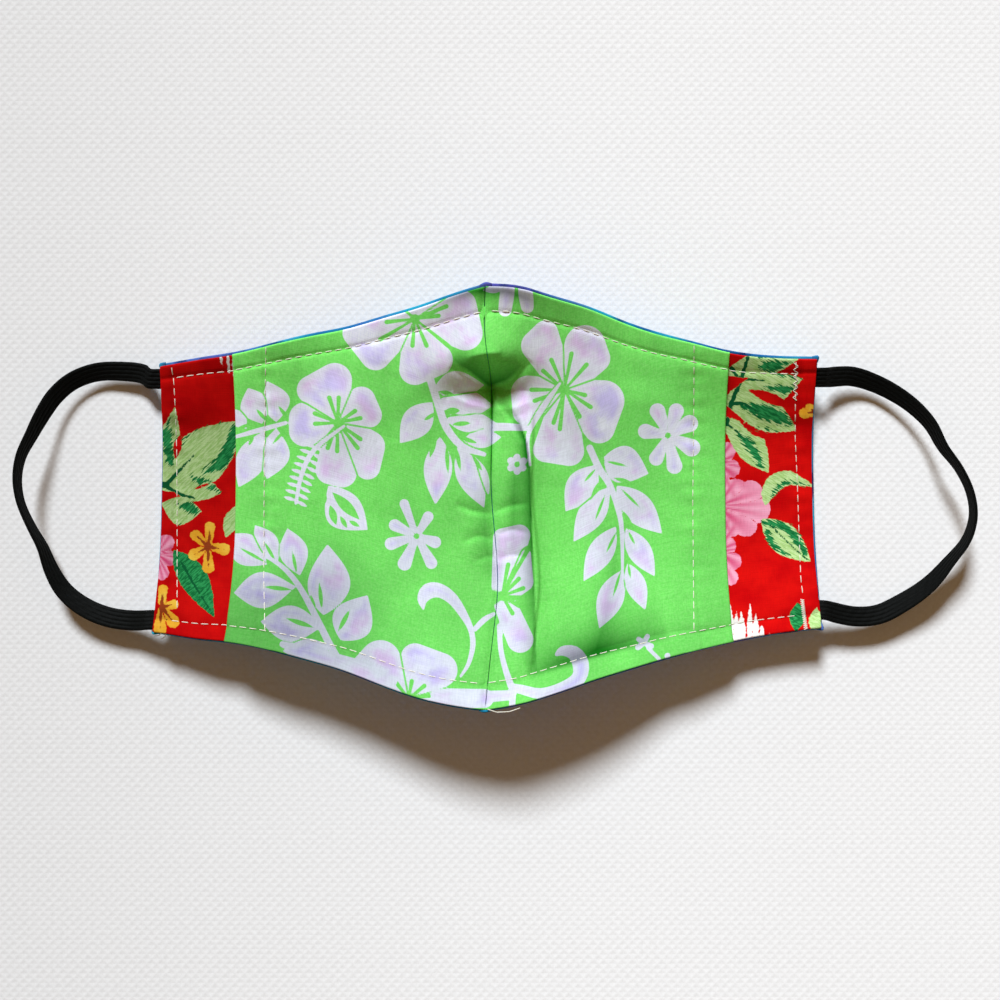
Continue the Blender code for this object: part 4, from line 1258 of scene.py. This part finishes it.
section = np.linspace(-1, 1, LOOP_RIBS * RIB_POINTS + 1)
ribs = 1 - RIB_GROOVE * (1 - np.abs(np.sin(math.pi * LOOP_RIBS * (section + 1) / 2)))
upper = ribs * (1 - np.abs(section) ** EDGE_ROUNDING) ** 0.5
across = np.concatenate([section, section[-2:0:-1], section[:1]])
over = np.concatenate([upper, -upper[-2:0:-1], upper[:1]])
for side in SIDES:
    sections = loop_sections("ear_loop_" + side)
    spans = np.linalg.norm(sections[0] - sections[0][0], axis=1)
    _, through, beside_it, _ = np.argsort(spans)
    middles = sections.mean(axis=1)
    halves = (sections[:, beside_it] - sections[:, 0]) / 2
    depths = (sections[:, through] - sections[:, 0]) / 2
    lengths = lengths_along(middles)
    places = np.interp(np.linspace(0, lengths[-1], LOOP_RINGS), lengths, np.linspace(0, 1, len(lengths)))
    path, half, depth = [smoothed(rows, places) for rows in (middles, halves, depths)]
    points = path[:, None] + across[:, None] * half[:, None] + over[:, None] * depth[:, None]

    band = grid_through("elastic_loop_" + side, points)
    around = np.concatenate([[0.0], np.cumsum(np.hypot(np.diff(across), 0.2 * np.diff(over)))])
    braid = np.zeros(points.shape)
    braid[..., 0] = np.linspace(0, lengths[-1], LOOP_RINGS)[:, None]
    braid[..., 1] = around * np.linalg.norm(half[0])
    keep_threads(band, "braid", braid)
    edit_mode(band)
    bpy.ops.mesh.select_all(action="SELECT")
    bpy.ops.mesh.remove_doubles(threshold=MERGE_DISTANCE / 10)
    bpy.ops.mesh.select_all(action="DESELECT")
    bpy.ops.mesh.select_mode(type="EDGE")
    bpy.ops.mesh.select_non_manifold()
    bpy.ops.mesh.edge_face_add()
    bpy.ops.mesh.select_all(action="SELECT")
    bpy.ops.mesh.normals_make_consistent(inside=False)
    object_mode()
    bpy.ops.object.shade_smooth_by_angle(angle=math.radians(SHARP_ANGLE))
    band.data.materials.append(black_elastic)
    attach(band, "root")
    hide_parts("ear_loop_" + side)


# The seams are sewn by machine with cream cotton thread, which shows as stitches on
# the lining's side and on the outer cloth. The right edge was sewn over with a zigzag
# and ends in a bartack.
THREAD_RADIUS = 0.00015
STITCH = 0.0026
STITCH_GAP = 0.00055
STITCH_LIFTS = (-0.00012, 0.00008, 0.00012, 0.00008, -0.00012)
ROW_STEP = 0.001
SEAM_CLEAR = 0.0012
SEAM_POINTS = 2
THREAD_ROUGHNESS = 0.7
THREAD_CREAM = ((0.68, 0.62, 0.50, 1.0), (0.86, 0.82, 0.72, 1.0))
STRAND_DEPTH = 0.00005
STRAND_STRENGTH = 0.4
# The seams and hems that run up and down, as seen.
SEEN_ROWS = (
    ((-104.6, 44), (-103.6, 38), (-103, 28), (-102.6, 15), (-102.5, -5), (-102.5, -36.5)),
    ((94, 43.8), (93.8, 34), (93.7, 20), (94.4, 5), (94.9, -10), (95.5, -25), (96.4, -32)),
    ((-74.3, 49.5), (-74.6, 30), (-74.9, 0), (-75, -25), (-74.6, -43)),
    ((61.6, 49), (61.5, 25), (61.2, 0), (61.4, -25), (61.6, -43)),
)
# Zigzags: a row as seen, the half width and the pitch in millimetres.
ZIGZAGS = (
    (((94, 43.5), (93.8, 36), (93.7, 30.5)), 0.8, 1.1),
    (((95.9, -31.5), (96.4, -36), (97.2, -41.6)), 0.6, 0.32),
)
# Loose thread ends: points as seen, with heights above the table in millimetres.
LOOSE_ENDS = (
    ((-4, -66.4, 30.2), (-1, -67.4, 30.4), (3, -67.2, 30.2), (6.5, -66.0, 29.6)),
    ((-107.5, -41.2, 11.0), (-109.5, -41.9, 9.5), (-110.8, -41.4, 8.5)),
    ((-107.0, -41.6, 11.0), (-108.2, -43.0, 9.5), (-109.9, -43.2, 8.0)),
    ((-105.8, -41.8, 11.0), (-106.4, -43.4, 9.5), (-107.6, -44.2, 8.5)),
)


def spaced(row, step):
    """Points at even steps along a row of points."""
    row = np.array(row, float)
    lengths = lengths_along(row)
    places = np.arange(0, lengths[-1], step)
    return np.stack([np.interp(places, lengths, row[:, k]) for k in range(row.shape[1])], axis=-1)


def plan_of(row, tree, step):
    """Where in the plan a row of points that the camera sees lies on the cloth."""
    found = []
    for u, v in spaced(row, step):
        hit = tree.ray_cast(camera.location, Vector((u / 1000, v / 1000, -CAMERA_HEIGHT)))[0]
        if hit is not None:
            found.append((hit.x, hit.y))
    return found


def leftwards(row):
    """Unit steps to the left of a row of points."""
    flow = np.gradient(row, axis=0)
    return np.stack([-flow[:, 1], flow[:, 0]], axis=-1) / np.linalg.norm(flow, axis=1)[:, None]


def set_in(rim, inside):
    """A rim's plan moved in to its topstitching, towards the side where inside lies."""
    normal = leftwards(rim[:, :2])
    width = border_at(seen(*rim.T)[0])[:, None]
    return rim[:, :2] + normal * width * np.sign((normal[:, 1] * inside).sum())


def new_thread(name):
    """A round thread without any stitches yet."""
    curve = bpy.data.curves.new(name, "CURVE")
    curve.dimensions = "3D"
    curve.bevel_depth = THREAD_RADIUS
    curve.bevel_resolution = 1
    curve.use_fill_caps = True
    return curve


def add_run(curve, points):
    """Lead a thread once through some points."""
    run = curve.splines.new("POLY")
    run.points.add(len(points) - 1)
    for point, (x, y, z) in zip(run.points, points):
        point.co = (x, y, z, 1.0)


def lay_on(tree, x, y, lift, above):
    """A point of the thread on the upper or lower side of the cloth."""
    way = 1 if above else -1
    hit = tree.ray_cast((x, y, 0.1 * way), (0, 0, -way))[0]
    return None if hit is None else (x, y, max(hit.z + way * lift, THREAD_RADIUS))


def sew(curve, row, tree, above=True):
    """Stitches along a row of the plan."""
    places = spaced(row, (STITCH + STITCH_GAP) / (len(STITCH_LIFTS) + 1))
    for k in range(0, len(places) - len(STITCH_LIFTS) + 1, len(STITCH_LIFTS) + 1):
        run = [lay_on(tree, *places[k + n], lift, above) for n, lift in enumerate(STITCH_LIFTS)]
        if None not in run and max(p[2] for p in run) - min(p[2] for p in run) < STITCH:
            add_run(curve, run)


def finish_thread(name, curve):
    """Turn the stitches into one mesh that rides with the cloth."""
    bpy.ops.object.select_all(action="DESELECT")
    thread = bpy.data.objects.new(name, curve)
    bpy.context.collection.objects.link(thread)
    bpy.context.view_layer.objects.active = thread
    thread.select_set(True)
    bpy.ops.object.convert(target="MESH")
    thread = bpy.context.object
    bpy.ops.object.shade_smooth()
    thread.data.materials.clear()
    thread.data.materials.append(cream_thread)
    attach(thread, "root")


cream_thread, nodes, shader = new_finish("cream_cotton_thread", THREAD_ROUGHNESS)
place = put(nodes, "ShaderNodeTexCoord")["Object"]
strands = between(nodes, noise(nodes, place, 3000.0, 2.0), 0.3, 0.7)
colour = blend_colours(nodes, strands, *THREAD_CREAM)
nodes.links.new(colour, shader.inputs["Base Color"])
emboss(nodes, shader, strands, STRAND_DEPTH, STRAND_STRENGTH)

linings = tree_of(*lining_cloths.values(), *pocket_cloths.values())
outers = tree_of(*outer_cloths.values())
plans = [plan_of(row, linings, ROW_STEP * 1000) for row in SEEN_ROWS]
for side, sign in SIDES.items():
    mouth = (pocket_edges[side]["outer"][:, 0] * sign).min() - SEAM_CLEAR
    for rim, inside in (("top", -1), ("bottom", 1)):
        pocket_row = set_in(pocket_edges[side][rim], inside)
        lining_row = set_in(lining_edges[side][rim], inside)
        pocket_row = pocket_row[(pocket_row[:, 0] * sign < mouth)][SEAM_POINTS:]
        end = abs(lining_row[-1, 0]) - SIDE_STITCH
        lining_row = lining_row[(lining_row[:, 0] * sign > mouth) & (lining_row[:, 0] * sign < end)]
        plans.append(np.vstack([pocket_row, lining_row]))

upper_thread = new_thread("upper_stitches")
bobbin_thread = new_thread("outer_stitches")
for row in plans:
    sew(upper_thread, row, linings)
    sew(bobbin_thread, row, outers, above=False)
for row, half_width, pitch in ZIGZAGS:
    places = spaced(row, pitch)
    ways = np.where(np.arange(len(places)) % 2, 1, -1)[:, None]
    crossing = plan_of(places + leftwards(places) * half_width * ways, linings, pitch / 2)
    add_run(upper_thread, [lay_on(linings, x, y, THREAD_RADIUS / 2, True) for x, y in crossing])
for points in LOOSE_ENDS:
    end = np.array(points)
    shrink = 1 - end[:, 2:] / 1000 / CAMERA_HEIGHT
    plan_points = end[:, :2] / 1000 * shrink + (CAMERA_X, CAMERA_Y)
    add_run(upper_thread, spaced(np.hstack([plan_points, end[:, 2:] / 1000]), ROW_STEP / 2))
finish_thread("upper_stitches", upper_thread)
finish_thread("outer_stitches", bobbin_thread)

for pattern in [thing for thing in bpy.data.objects if "_pattern" in thing.name]:
    bpy.data.objects.remove(pattern, do_unlink=True)
